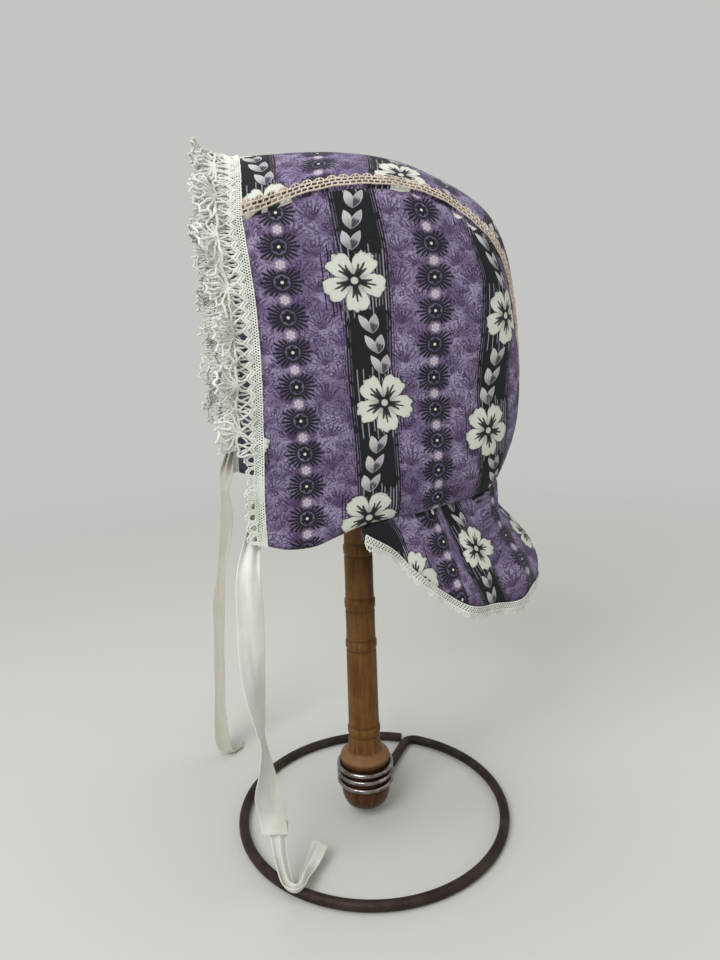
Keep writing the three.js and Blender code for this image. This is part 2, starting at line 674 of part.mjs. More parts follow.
function buildStand() {
  const stand = new THREE.Group();
  stand.add(namedMesh("base_wire", baseWire(), colours.wire, 0.6, 0.7));
  stand.add(namedMesh("bobbin", bobbin(), colours.wood, 0.5));
  steelRing.heights.forEach((height, i) => {
    const ring = namedMesh(`bobbin_ring_${i + 1}`, bobbinRing(), colours.steel, 0.3, 1);
    ring.position.z = height;
    stand.add(ring);
  });
  return stand;
}

// The part's origin is the middle of its footprint, on the surface that it stands on.
const part = new THREE.Group();
part.add(buildCap(), buildTies(), buildStand());
part.updateMatrixWorld(true);
const box = new THREE.Box3().setFromObject(part, true);
const middle = box.getCenter(new THREE.Vector3());
part.position.set(-middle.x, -middle.y, -box.min.z);

export default part;
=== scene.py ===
import math
import random

import bmesh
import bpy
from mathutils import Matrix, Vector, noise


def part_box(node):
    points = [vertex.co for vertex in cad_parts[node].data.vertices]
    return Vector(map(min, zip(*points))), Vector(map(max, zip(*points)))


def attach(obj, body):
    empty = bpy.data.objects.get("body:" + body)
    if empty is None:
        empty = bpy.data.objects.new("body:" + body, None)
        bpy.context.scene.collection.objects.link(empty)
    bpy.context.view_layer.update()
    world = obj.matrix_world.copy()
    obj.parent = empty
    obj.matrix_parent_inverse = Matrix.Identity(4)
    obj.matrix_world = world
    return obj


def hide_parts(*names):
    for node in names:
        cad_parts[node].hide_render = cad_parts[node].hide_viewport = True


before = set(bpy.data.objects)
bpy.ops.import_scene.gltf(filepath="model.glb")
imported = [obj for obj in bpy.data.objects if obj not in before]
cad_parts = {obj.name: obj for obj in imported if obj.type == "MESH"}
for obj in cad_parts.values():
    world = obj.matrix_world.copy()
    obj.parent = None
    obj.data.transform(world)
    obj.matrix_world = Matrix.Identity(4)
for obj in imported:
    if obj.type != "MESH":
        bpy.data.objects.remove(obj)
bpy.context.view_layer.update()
print("frame loaded")

# Lengths are in millimetres until place() or placeCap() turns them into the frame's metres.
ringLow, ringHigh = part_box("base_wire")
bobbinFoot = (ringLow + ringHigh) / 2 - Vector((0.0032, -0.0039, 0))
bobbinFoot.z = 0
capLean = math.radians(4.5)  # the cap hangs over to its right on the bobbin
capPivot = 342


def place(x, y, z):
    return bobbinFoot + Vector((x, y, z)) / 1000


def placeCap(point):
    # the cap's own symmetric frame, leaned over about the bobbin's tip
    up = point.z - capPivot
    return place(
        point.x,
        point.y * math.cos(capLean) - up * math.sin(capLean),
        point.y * math.sin(capLean) + up * math.cos(capLean) + capPivot,
    )


def readRows(rows, position):
    # smooth reading between the rows of a table
    last = len(rows) - 1
    at = min(max(position, 0), last)
    row = min(int(at), last - 1)
    share = at - row
    before, after = rows[max(row - 1, 0)], rows[min(row + 2, last)]
    result = []
    for a, b, c, d in zip(before, rows[row], rows[row + 1], after):
        bend = (2 * a - 5 * b + 4 * c - d) * share + (3 * b - a - 3 * c + d) * share * share
        result.append(b + 0.5 * share * (c - a + bend))
    return result


def ease(value, low, high):
    share = min(max((value - low) / (high - low), 0), 1)
    return share * share * (3 - 2 * share)


def mix(a, b, share):
    return a + (b - a) * share


def addObject(name, data):
    added = bpy.data.objects.new(name, data)
    bpy.context.scene.collection.objects.link(added)
    return added


# camera

cameraPlan = {"place": (-85.7, -352.8, 262.4), "turn": 14.0, "pitch": 11.45, "roll": 1.86, "pixels": 721}


def makeCamera():
    turn, pitch, roll = (math.radians(cameraPlan[k]) for k in ("turn", "pitch", "roll"))
    right = Vector((math.cos(turn), -math.sin(turn), 0))
    ahead = Vector((math.sin(turn) * math.cos(pitch), math.cos(turn) * math.cos(pitch), -math.sin(pitch)))
    up = right.cross(ahead)
    across = math.cos(roll) * right - math.sin(roll) * up
    upright = math.sin(roll) * right + math.cos(roll) * up
    data = bpy.data.cameras.new("camera")
    data.sensor_width = 36
    data.lens = 36 * cameraPlan["pixels"] / 960
    data.clip_start = 0.01
    camera = addObject("camera", data)
    camera.rotation_euler = Matrix((across, upright, -ahead)).transposed().to_euler()
    camera.location = place(*cameraPlan["place"])
    bpy.context.scene.camera = camera


makeCamera()
print("camera placed")


# making pieces and meshes

def newPiece(name, mesh, nodes, slotName, *materials):
    piece = addObject(name, mesh)
    for material in materials:
        mesh.materials.append(material)
    for face in mesh.polygons:
        face.use_smooth = True
    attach(piece, "root")
    if nodes:
        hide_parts(*nodes)
    return piece


def meshFrom(bm, name):
    mesh = bpy.data.meshes.new(name)
    bm.to_mesh(mesh)
    bm.free()
    return mesh


def addGrid(bm, across, up):
    # a flat grid, with the two shares of its sides at which each vertex lies
    bmesh.ops.create_grid(bm, x_segments=across, y_segments=up, size=0.5)
    return {vertex: (vertex.co.x + 0.5, vertex.co.y + 0.5) for vertex in bm.verts}


def clothGrid(name, across, up, pointAt, printAt):
    # a grid whose every vertex is laid on the cloth's surface
    bm = bmesh.new()
    layer = bm.loops.layers.uv.new("print")
    shares = addGrid(bm, across, up)
    for vertex, (u, v) in shares.items():
        vertex.co = pointAt(u, v)
    for face in bm.faces:
        for loop in face.loops:
            loop[layer].uv = printAt(*shares[loop.vert])
    return meshFrom(bm, name)


def cottonPiece(name, nodeName, cotton, wall, *grid):
    # a printed cloth with its wrong side inside, in muted colours painted darker as painted shade
    piece = newPiece(name, clothGrid(name, *grid), [nodeName], "printed_cotton", cotton, shadedWrongSide)
    giveWall(piece, wall, 1)
    return piece


def giveWall(piece, thickness, innerSlot=0):
    wall = piece.modifiers.new("wall", "SOLIDIFY")
    wall.thickness = thickness / 1000
    wall.offset = -1
    wall.use_even_offset = False
    wall.material_offset = innerSlot
    wall.material_offset_rim = innerSlot
    return wall


def smoothOut(piece):
    smoothing = piece.modifiers.new("smoothing", "SUBSURF")
    smoothing.levels = 1
    smoothing.render_levels = 1


def threadMesh(name, strands, thickness, sides=6):
    # every strand is a list of points in metres, or of (point, share of the thickness)
    curve = bpy.data.curves.new(name, "CURVE")
    curve.dimensions = "3D"
    curve.bevel_depth = thickness / 2000
    curve.bevel_resolution = (sides - 4) // 2
    curve.use_fill_caps = True
    for strand in strands:
        spline = curve.splines.new("POLY")
        spline.points.add(len(strand) - 1)
        for spot, point in zip(spline.points, strand):
            share = 1
            if isinstance(point, tuple):
                point, share = point
            spot.co = (*point, 1)
            spot.radius = share
    holder = addObject(name, curve)
    seen = holder.evaluated_get(bpy.context.evaluated_depsgraph_get())
    mesh = bpy.data.meshes.new_from_object(seen)
    bpy.data.objects.remove(holder)
    bpy.data.curves.remove(curve)
    mesh.name = name
    mesh.materials.clear()
    return mesh


def spunMesh(name, outline, steps, centre):
    # outline: (radius, height) from the bottom up, turned about the bobbin's axis
    bm = bmesh.new()
    spots = [bm.verts.new((radius / 1000, 0, height / 1000)) for radius, height in outline]
    edges = [bm.edges.new(pair) for pair in zip(spots, spots[1:])]
    bmesh.ops.spin(bm, geom=spots + edges, cent=(0, 0, 0), axis=(0, 0, 1), angle=2 * math.pi,
                   steps=steps, use_merge=True)
    bmesh.ops.remove_doubles(bm, verts=bm.verts, dist=1e-7)
    bmesh.ops.recalc_face_normals(bm, faces=bm.faces)
    bmesh.ops.translate(bm, verts=bm.verts, vec=centre)
    return meshFrom(bm, name)


# shader building

class Value:
    # a socket that can be added, multiplied and so on
    def __init__(self, tree, socket):
        self.tree = tree
        self.socket = socket

    def calc(self, operation, *others):
        node = self.tree.nodes.new("ShaderNodeMath")
        node.operation = operation
        for slot, item in zip(node.inputs, (self, *others)):
            if isinstance(item, Value):
                self.tree.links.new(item.socket, slot)
            else:
                slot.default_value = item
        return Value(self.tree, node.outputs[0])

    def __add__(self, other):
        return self.calc("ADD", other)

    def __sub__(self, other):
        return self.calc("SUBTRACT", other)

    def __mul__(self, other):
        return self.calc("MULTIPLY", other)

    def __truediv__(self, other):
        return self.calc("DIVIDE", other)

    def bare(self):
        # without its sign
        return self.calc("ABSOLUTE")

    def near(self, level, wide, narrow):
        # 1 within narrow of the level, 0 beyond wide
        return (self - level).bare().soft(wide, narrow)

    def wrap(self, period):
        # distance from the nearest multiple of the period, with its sign
        return self.calc("WRAP", period / 2, -period / 2)

    def soft(self, low, high):
        # 0 below low, 1 above high, smooth between
        node = self.tree.nodes.new("ShaderNodeMapRange")
        node.interpolation_type = "SMOOTHSTEP"
        self.tree.links.new(self.socket, node.inputs["Value"])
        turned = low > high
        node.inputs["From Min"].default_value = min(low, high)
        node.inputs["From Max"].default_value = max(low, high)
        node.inputs["To Min"].default_value = 1 if turned else 0
        node.inputs["To Max"].default_value = 0 if turned else 1
        return Value(self.tree, node.outputs["Result"])


def startMaterial(name, roughness, sheen=0.0, metallic=0.0, specular=0.2):
    material = bpy.data.materials.new(name)
    material.use_nodes = True
    tree = material.node_tree
    shader = tree.nodes["Principled BSDF"]
    setLevels(shader, {
        "Roughness": roughness, "Metallic": metallic, "Specular IOR Level": specular,
        "Sheen Weight": sheen, "Sheen Roughness": 0.4,
    })
    return material, tree, shader


def setLevels(shader, levels):
    for key, level in levels.items():
        shader.inputs[key].default_value = level


def objectPlace(tree, scale=(1, 1, 1)):
    source = tree.nodes.new("ShaderNodeTexCoord")
    mapping = tree.nodes.new("ShaderNodeMapping")
    mapping.inputs["Scale"].default_value = scale
    tree.links.new(source.outputs["Object"], mapping.inputs["Vector"])
    return mapping.outputs["Vector"]


def noiseOf(tree, place, scale, detail=2.0, roughness=0.5, size="3D"):
    node = tree.nodes.new("ShaderNodeTexNoise")
    node.noise_dimensions = size
    node.inputs["Scale"].default_value = scale
    node.inputs["Detail"].default_value = detail
    node.inputs["Roughness"].default_value = roughness
    tree.links.new(place, node.inputs["Vector"])
    return Value(tree, node.outputs["Fac"])


def polar(sideways, upwards):
    # distance and bearing
    reach = (sideways * sideways + upwards * upwards).calc("SQRT")
    return reach, sideways.calc("ARCTAN2", upwards)


def cellsOf(tree, place, scale):
    # distance from scattered points
    node = tree.nodes.new("ShaderNodeTexVoronoi")
    node.voronoi_dimensions = "2D"
    node.inputs["Scale"].default_value = scale
    tree.links.new(place, node.inputs["Vector"])
    return Value(tree, node.outputs["Distance"])


def clothPlace(tree):
    # the piece's own print map, whole and as its two lengths
    source = tree.nodes.new("ShaderNodeUVMap")
    source.uv_map = "print"
    parts = tree.nodes.new("ShaderNodeSeparateXYZ")
    tree.links.new(source.outputs["UV"], parts.inputs[0])
    return source.outputs["UV"], Value(tree, parts.outputs[0]), Value(tree, parts.outputs[1])


def blendColour(tree, share, under, over):
    node = tree.nodes.new("ShaderNodeMix")
    node.data_type = "RGBA"
    tree.links.new(share.socket, node.inputs[0])
    for slot, item in ((node.inputs[6], under), (node.inputs[7], over)):
        if isinstance(item, tuple):
            slot.default_value = (*item, 1)
        else:
            tree.links.new(item, slot)
    return node.outputs[2]


class Paint:
    # a colour that takes one layer after another
    def __init__(self, tree, share, under, over):
        self.tree = tree
        self.colour = blendColour(tree, share, under, over)

    def lay(self, share, tone):
        self.colour = blendColour(self.tree, share, self.colour, tone)

    def dry(self, shader):
        self.tree.links.new(self.colour, shader.inputs["Base Color"])


def mottled(name, ground, tones, spots, share, spotTone, **looks):
    # soft patches of two tones with small spots of a third; ground and spots are noises with their edges
    material, tree, shader = startMaterial(name, **looks)
    inPiece = objectPlace(tree)
    patches, marks = (noiseOf(tree, inPiece, *size).soft(*edges) for size, edges in (ground, spots))
    paint = Paint(tree, patches, *tones)
    paint.lay(marks * share, spotTone)
    paint.dry(shader)
    return material, tree, shader, patches


def addBump(tree, shader, height, strength, distance):
    bump = tree.nodes.new("ShaderNodeBump")
    bump.inputs["Strength"].default_value = strength
    bump.inputs["Distance"].default_value = distance
    tree.links.new(height.socket, bump.inputs["Height"])
    tree.links.new(bump.outputs["Normal"], shader.inputs["Normal"])


# the cap's shape

capPlan = {
    # seam x, half width y, z, crest x, z
    "stations": [
        (-54.5, 44, 313.5, -51, 342.5), (-43, 44.5, 317.5, -38, 343.6),
        (-29, 45, 322.5, -22, 344.9), (-14, 45, 325.8, -6, 345.4),
        (2, 45, 326.8, 10, 344.5), (17, 45, 325.3, 26, 341.5),
        (31, 45, 321.2, 42, 335.5), (43.5, 45, 314, 57, 327.5),
        (55, 44, 305, 69, 317), (64, 40, 293.5, 78.5, 301.5),
        (71.5, 33, 279, 83.8, 284), (79, 24.5, 261, 87.3, 264.5),
        (84, 19.5, 241.5, 89.4, 243), (85, 18, 223.5, 89.9, 223),
        (82.5, 18, 207, 87.8, 205.5), (77, 19, 193.5, 82.6, 191.5),
        (74.5, 19.5, 187, 79.5, 184.5),
    ],
    "corner": 9,  # station where the seam turns from over the head to down the back
    "over": 12,   # steps of the seam over the head
    "back": 11,   # and down the back
    "roundness": 2.2,
    # x, half width y, z: the face edge from the chin up, and the lower edge from front to back
    "front": [
        (-52.9, 64.5, 178), (-53, 62.3, 197), (-51.9, 59.7, 222), (-51, 56.2, 254),
        (-51.6, 52.3, 280), (-53, 49, 297), (-54.5, 44, 313.5),
    ],
    "lower": [
        (-52.9, 64.5, 178), (-43.5, 64.4, 175.2), (-32, 63.4, 174.9), (-21, 62.3, 178),
        (-9.5, 61.4, 181.6), (5, 59, 183), (20, 54.6, 182.6), (34, 50, 183.4),
        (48.5, 45.5, 184.6), (62.5, 37, 186.6), (74.5, 19.5, 187),
    ],
    "bulge": 6.5,         # how far the middle of a side panel stands out
    "rearBulge": 11,      # and its part near the back
    "wall": 1.7,
    "curtainStart": 4,  # row of the lower edge where the curtain begins
    "hem": [
        (-10.6, 62.4, 179.6), (1.5, 62, 170.5), (15, 62.2, 158), (31, 61.5, 142.5),
        (46.5, 59, 133.5), (63.5, 52.5, 129), (82, 41.5, 126), (99.5, 23.5, 125.5),
        (108.5, 0, 125.5),
    ],
    # how the curtain falls: share of the way to the hem, share of the flare added
    "drop": [
        (0, 0), (0.14, -0.1), (0.28, -0.15), (0.42, 0),
        (0.56, 0.13), (0.7, 0.2), (0.86, 0.15), (1, 0),
    ],
    "curtainWall": 1.2,
    "waves": (9, 1.4),
}
seamSteps = capPlan["over"] + capPlan["back"]


def crownPoint(step, side):
    # step along the crown seam, and side from -1 at the left seam to 1
    corner, over = capPlan["corner"], capPlan["over"]
    station = step / over * corner
    if step > over:
        station = corner + (step - over) / capPlan["back"] * (len(capPlan["stations"]) - 1 - corner)
    seamX, seamY, seamZ, crestX, crestZ = readRows(capPlan["stations"], station)
    fall = abs(side) ** capPlan["roundness"]
    return Vector((mix(crestX, seamX, fall), seamY * side, mix(crestZ, seamZ, fall)))


def leftOf(name, share):
    rows = capPlan[name]
    x, y, z = readRows(rows, share * (len(rows) - 1))
    return Vector((x, -y, z))


def panelPoint(u, v):
    # the left side panel, stretched between its front edge, lower edge and the crown seam
    over, back = capPlan["over"], capPlan["back"]
    lower, top = leftOf("lower", u), crownPoint(u * over, -1)
    front, rear = leftOf("front", v), crownPoint(seamSteps - v * back, -1)
    point = lower * (1 - v) + top * v + front * (1 - u) + rear * u
    point -= leftOf("front", 0) * ((1 - u) * (1 - v)) + leftOf("front", 1) * ((1 - u) * v)
    point -= crownPoint(seamSteps, -1) * (u * (1 - v)) + crownPoint(over, -1) * (u * v)
    # the factors 16, 12.2 and 4 bring each bulge's highest point to 1
    point.y -= capPlan["bulge"] * 16 * u * (1 - u) * v * (1 - v)
    point.y -= capPlan["rearBulge"] * 12.2 * u ** 4 * (1 - u) * 4 * v * (1 - v)
    return point


def neckPoint(share):
    half, sign = 1 - abs(2 * share - 1), (-1 if share < 0.5 else 1)
    lowerPart = 0.72
    if half < lowerPart:
        rows = capPlan["lower"]
        start = capPlan["curtainStart"]
        point = Vector(readRows(rows, start + half / lowerPart * (len(rows) - 1 - start)))
    else:
        point = crownPoint(seamSteps, 1 - (half - lowerPart) / (1 - lowerPart))
    return Vector((point.x, sign * abs(point.y), point.z - 0.4))


def hemPoint(share):
    half, sign = 1 - abs(2 * share - 1), (-1 if share < 0.5 else 1)
    x, y, z = readRows(capPlan["hem"], half * (len(capPlan["hem"]) - 1))
    return Vector((x, sign * y, z))


def curtainPoint(share, down):
    rows = len(capPlan["drop"]) - 1
    fall, out = readRows(capPlan["drop"], down * rows)
    neck, hem = neckPoint(share), hemPoint(share)
    flare = Vector((hem.x - neck.x, hem.y - neck.y, 0))
    count, height = capPlan["waves"]
    wave = height * math.sin(share * count * 2 * math.pi) * fall
    side = flare.normalized() if flare.length > 1 else Vector()
    return neck.lerp(hem, fall) + flare * out + side * wave


def lengthsAlong(points):
    total, sums = 0, [0]
    for a, b in zip(points, points[1:]):
        total += (b - a).length
        sums.append(total)
    return sums


def readSums(sums, wanted):
    # position in a list of running lengths, as row plus share
    low, high = 0, len(sums) - 1
    if wanted <= sums[0]:
        return (wanted - sums[0]) / (sums[1] - sums[0])
    if wanted >= sums[high]:
        return high + (wanted - sums[high]) / (sums[high] - sums[high - 1])
    while high - low > 1:
        middle = (low + high) // 2
        if sums[middle] <= wanted:
            low = middle
        else:
            high = middle
    return low + (wanted - sums[low]) / (sums[high] - sums[low])


def lengthWhere(sums, levels, wanted):
    # the running length at which a list of levels reaches the wanted one
    return mixSums(sums, readSums(levels, wanted))


def mixSums(sums, position):
    low = min(max(int(position), 0), len(sums) - 2)
    return mix(sums[low], sums[low + 1], position - low)


def gridOf(pointAt, across, up):
    return [[pointAt(i / across, j / up) for j in range(up + 1)] for i in range(across + 1)]


def slopesAt(grid, i, j):
    # from the grid line before to the one after, both ways
    first = grid[min(i + 1, len(grid) - 1)][j] - grid[max(i - 1, 0)][j]
    return first, grid[i][min(j + 1, len(grid[0]) - 1)] - grid[i][max(j - 1, 0)]


def rollIn(point, normal, distance, reach, depth):
    # cloth turns inwards close to a seam or a hem
    if distance >= reach:
        return point
    return point - normal * (depth * (1 - distance / reach) ** 2)


print("cap shape ready")

# the printed cotton, in millimetres on the cloth

printPlan = {
    "repeat": 61.0,      # from one rosette column to the next
    "rosettePitch": 14.25,
    "stripe": (22.2, 41.9),
    "flowerStart": 27.5,
    "flowerPitch": 51.6,
    "flowerLeft": 27.7,
    "flowerStep": 9.5,
    "light": (0.292, 0.248, 0.395),
    "middle": (0.142, 0.108, 0.214),
    "dark": (0.035, 0.018, 0.055),
    "black": (0.0055, 0.008, 0.009),
    "white": (0.60, 0.62, 0.545),
    "grey": (0.25, 0.24, 0.25),
    # how far the flowers climb from one stripe to the next, and what is added for its square
    "climb": 22.8,
    "bend": 11.0,
    "threadPitch": 0.42,
}


def printGround(paint, clouds, cells, u, v):
    rosy = clouds(0.045).soft(0.5, 0.62) * 0.35
    paint.lay(rosy, (0.20, 0.130, 0.235))
    # fine curling lines
    curl = (clouds(0.21, 1.5, 0.45) * 40.0).calc("SINE").soft(0.15, 0.9) * 0.7
    paint.lay(curl, printPlan["dark"])
    # two sets of feathery fans, half a step apart
    for shiftU, shiftV, strength in ((0.0, 0.0, 1.0), (8.4, 7.6, 0.8)):
        sway = clouds(0.05, 0.0) * 5.0 - 2.5
        fanU = (u + sway + (shiftU + 4.0)).wrap(16.8)
        reach, angle = polar(fanU, (v - sway + shiftV).wrap(15.2) + 6.2)
        inside = angle.bare().soft(1.75, 0.95) * reach.soft(11.5, 6.5) * strength
        paint.lay(inside * reach.soft(6.8, 0.5) * 0.8, (0.058, 0.030, 0.082))
        rays = (angle * 21.0 + curl * 1.5).calc("COSINE").soft(0.15, 0.75) * inside
        paint.lay(rays * reach.soft(9.8, 5.0) * 0.85, printPlan["dark"])
        rim = reach.near(10.4, 0.9, 0.1) * angle.bare().soft(1.2, 0.9) * 0.12
        paint.lay(rim, (0.34, 0.27, 0.40))
    # small dark rings scattered on it
    paint.lay(cells.near(0.12, 0.06, 0.02) * 0.85, (0.045, 0.022, 0.060))


def printRosettes(paint, u, v):
    # dark rays round a lobed black centre
    plan = printPlan
    roseU, roseV = u.wrap(plan["repeat"]), v.wrap(plan["rosettePitch"])
    reach, angle = polar(roseU, roseV)
    paint.lay(reach.soft(9.0, 5.0) * 0.5, plan["dark"])
    steep = (roseV / (reach + 0.01)).bare()
    tips = (angle * 12.0).calc("COSINE") * 0.5 + 7.9 - steep.soft(0.72, 0.97) * 3.1
    bar = (angle.wrap(2 * math.pi / 24) * reach).bare().soft(0.56, 0.30)
    bar = bar * reach.soft(3.0, 3.3) * (tips - reach).soft(-0.15, 0.25)
    paint.lay(bar, plan["black"])
    paint.lay(reach.near(3.0, 0.2, 0.08) * 0.2, (0.20, 0.17, 0.24))
    lobes = (angle * 6.0).calc("COSINE") * 0.4 + 2.35
    paint.lay((lobes - reach).soft(-0.15, 0.15), plan["black"])
    paint.lay(reach.soft(0.75, 0.5), plan["white"])

    # a small white flower between each two rosettes
    reach, angle = polar(roseU, (v + plan["rosettePitch"] / 2).wrap(plan["rosettePitch"]))
    petals = (angle * 6.0).calc("COSINE") * 0.3 + 1.65
    paint.lay(reach.soft(3.2, 1.6) * 0.5, (0.34, 0.28, 0.38))
    paint.lay((petals - reach).soft(-0.35, 0.35) * 0.9, (0.56, 0.51, 0.55))
    paint.lay(reach.near(0.8, 0.35, 0.15) * 0.6, (0.26, 0.18, 0.28))


def printStripe(paint, clouds, stripeU):
    # black, between ragged edges and thin lines
    low, high = printPlan["stripe"]
    ragged = clouds(0.9) * 0.5 - 0.25
    body = (stripeU + ragged - low).soft(-0.15, 0.15) * (stripeU + ragged - high).soft(0.15, -0.15)
    paint.lay(body, printPlan["black"])
    middle = (stripeU - (low + high) / 2).bare()
    for at, wide, much in ((8.9, 0.3, 0.8), (7.9, 0.24, 0.5), (10.6, 0.32, 0.85), (11.6, 0.22, 0.5)):
        line = middle.near(at, wide, wide * 0.3) * much
        tone = (0.19, 0.15, 0.22) if at < 10 else printPlan["black"]
        paint.lay(line * clouds(0.25).soft(0.36, 0.5), tone)
    return body


def printVine(paint, stripeU, steps, shown):
    # paired leaves that climb from one flower to the next
    plan = printPlan
    lowerStep = steps.calc("FLOOR")
    climb = (steps - lowerStep) * plan["flowerPitch"]
    turned = lowerStep.calc("FLOORED_MODULO", 2.0)
    along = ((climb - 16.0) / 36.0).calc("MAXIMUM", 0.0).calc("MINIMUM", 1.0)
    path = turned + (turned * -2.0 + 1.0) * along
    vineU = stripeU - (path * plan["flowerStep"] + plan["flowerLeft"])
    leafV = (climb - 12.4).calc("FLOORED_MODULO", 8.6)
    shown = climb.soft(12.2, 12.5) * climb.soft(38.4, 38.0) * shown
    lean = math.radians(24)
    sideways = vineU.bare()
    leafLength, leafHalf = 8.9, 1.95
    leafAlong = sideways * math.sin(lean) + leafV * math.cos(lean)
    leafAcross = sideways * math.cos(lean) - leafV * math.sin(lean)
    curve = leafAlong / leafLength * 2.0 - 1.0
    leaf = (curve * curve * -1.0 + 1.0) * leafHalf - leafAcross.bare()
    rightSide = vineU.soft(-0.05, 0.05)
    fill = blendColour(paint.tree, (leafAlong / leafLength).soft(0.1, 0.7), plan["grey"], (0.52, 0.50, 0.50))
    streak = (leafAcross * 5.0 + leafAlong * 0.6).calc("SINE").soft(0.1, 0.8) * 0.6
    hollow = leaf.soft(0.2, 0.6) * (rightSide * 0.85 + streak * 0.35)
    fill = blendColour(paint.tree, hollow, fill, (0.03, 0.025, 0.045))
    paint.lay(leaf.soft(-0.1, 0.2) * shown, fill)
    tipLeaf = (leafAlong / leafLength).soft(0.42, 0.6) * leaf.soft(0.15, 0.5) * rightSide * 0.85
    paint.lay(tipLeaf * shown, (0.42, 0.39, 0.43))


def printStrokes(paint, stripeU, number, flowerU, flowerV, body):
    # brush strokes above and below each flower, pale on black and dark on the ground
    tree, pitch = paint.tree, 1.35
    comb = tree.nodes.new("ShaderNodeTexWhiteNoise")
    comb.noise_dimensions = "1D"
    tree.links.new((stripeU / pitch + number * 37.0).calc("FLOOR").socket, comb.inputs["W"])
    length = Value(tree, comb.outputs["Value"])
    stroke = (stripeU / pitch).calc("FRACT").near(0.5, 0.24, 0.12)
    stroke = stroke * (length * 7.5 + 9.5 - flowerV.bare()).soft(0.0, 1.2) * flowerU.bare().soft(13.6, 12.6)
    tone = blendColour(tree, body, printPlan["black"], (0.27, 0.24, 0.30))
    paint.lay(stroke * length.soft(0.1, 0.3), tone)


def printFlower(paint, ruffled, flowerU, flowerV):
    # five petals, each with a group of dark rays that are broad at the root
    plan = printPlan
    reach, angle = polar(flowerU, flowerV)
    angle = angle - math.radians(32)
    petal = angle.wrap(2 * math.pi / 5).bare()
    across = petal / (math.pi / 5)
    edge = across.calc("POWER", 4.2) * -6.4 + 12.7
    edge = edge + (angle * 20.0).calc("SINE") * 0.25 + ruffled * 3.2 - 1.6
    blossom = edge - reach
    paint.lay(blossom.soft(-1.1, 0.0) * 0.8, plan["black"])
    white = blendColour(paint.tree, reach.soft(7.5, 3.0) * 0.55, plan["white"], plan["grey"])
    white = blendColour(paint.tree, blossom.soft(1.3, 0.1) * 0.35, white, plan["grey"])
    paint.lay(blossom.soft(-0.15, 0.35), white)
    between = ((across * -1.0 + 1.0) * reach * 0.63).soft(0.42, 0.12) * reach.soft(9.5, 5.5) * 0.35
    paint.lay(between, (0.12, 0.11, 0.13))
    for tilt, bend, far, wide in ((0.0, 0.0, 9.3, 0.95), (0.155, 0.13, 7.7, 1.05)):
        off = (petal - (reach.soft(1.5, 10.0) * bend + tilt)).bare() * reach
        taper = (reach / far * -0.72 + 1.08) * wide
        vein = (taper - off + (ruffled - 0.5) * 0.6).soft(-0.05, 0.2) * reach.soft(far, far - 0.9)
        paint.lay(vein * 0.95, (0.010, 0.010, 0.014))
    paint.lay(reach.soft(3.1, 2.3), (0.012, 0.012, 0.016))
    paint.lay(reach.soft(1.65, 1.25), (0.52, 0.52, 0.47))


def printedCotton(name, drop, phase, slip, slide, vines):
    # drop and slip move the flowers of the other stripes, phase those of all, and slide moves them
    # sideways forward of the first stripe, where vines says how much of the leaves is printed
    plan = printPlan
    material, tree, shader = startMaterial(name, 0.85, sheen=0.04)
    flat, u, v = clothPlace(tree)

    def clouds(scale, detail=1.0, roughness=0.5):
        return noiseOf(tree, flat, scale, detail, roughness, "2D")

    paint = Paint(tree, clouds(0.075, 3.0, 0.6).soft(0.36, 0.62), plan["middle"], plan["light"])
    printGround(paint, clouds, cellsOf(tree, flat, 0.16), u, v)
    printRosettes(paint, u, v)

    stripeNumber = (u / plan["repeat"]).calc("FLOOR")
    forward = stripeNumber.calc("MINIMUM", 0.0)
    stripeU = u - stripeNumber * plan["repeat"]
    risen = stripeNumber * (stripeNumber * plan["bend"] + plan["climb"] + drop) - forward * slip
    steps = (v - risen - (plan["flowerStart"] + phase)) / plan["flowerPitch"]
    body = printStripe(paint, clouds, stripeU)
    printVine(paint, stripeU, steps, (stripeNumber.soft(-0.6, -0.4) * (1 - vines) + vines) * body)
    number = (steps + 0.5).calc("FLOOR")
    flowerV = (steps - number) * plan["flowerPitch"]
    flowerU = stripeU - number.calc("FLOORED_MODULO", 2.0) * plan["flowerStep"] - plan["flowerLeft"]
    flowerU = flowerU - forward * slide
    printStrokes(paint, stripeU, number, flowerU, flowerV, body)
    printFlower(paint, clouds(0.34, 2.0, 0.6), flowerU, flowerV)

    # the cotton's own weave
    fleck = clouds(2.6, 3.0)
    paint.lay(fleck.soft(0.4, 0.7) * 0.035, (0.42, 0.40, 0.42))
    paint.lay(fleck.soft(0.5, 0.3) * 0.18, plan["black"])
    paint.dry(shader)
    threadsUp, threadsAcross = ((way * (2 * math.pi / plan["threadPitch"])).calc("SINE") for way in (u, v))
    addBump(tree, shader, threadsUp * threadsAcross * 0.35 + fleck, 0.35, 0.00022)
    return material


def shadedReverseCotton():
    # the wrong side of the print: the same colours muted, and painted darker than the front as painted shade
    # of the cap's inside
    material, tree, shader = mottled(
        "shadedReverseCotton", ((60.0, 3.0, 0.6), (0.35, 0.65)), ((0.050, 0.035, 0.070), (0.105, 0.080, 0.135)),
        ((140.0, 2.0, 0.5), (0.56, 0.62)), 0.5, (0.02, 0.018, 0.028), roughness=0.9, sheen=0.1,
    )[:3]
    addBump(tree, shader, noiseOf(tree, objectPlace(tree), 2200.0, 2.0), 0.3, 0.0002)
    return material


sideCotton = printedCotton("sideCotton", drop=0.0, phase=0.6, slip=0.0, slide=3.5, vines=1.0)
bandCotton = printedCotton("bandCotton", drop=-6.1, phase=1.7, slip=-5.6, slide=0.2, vines=1.0)
curtainCotton = printedCotton("curtainCotton", drop=5.3, phase=1.2, slip=12.5, slide=-2.7, vines=0.0)
shadedWrongSide = shadedReverseCotton()
print("cotton print ready")

# side panels

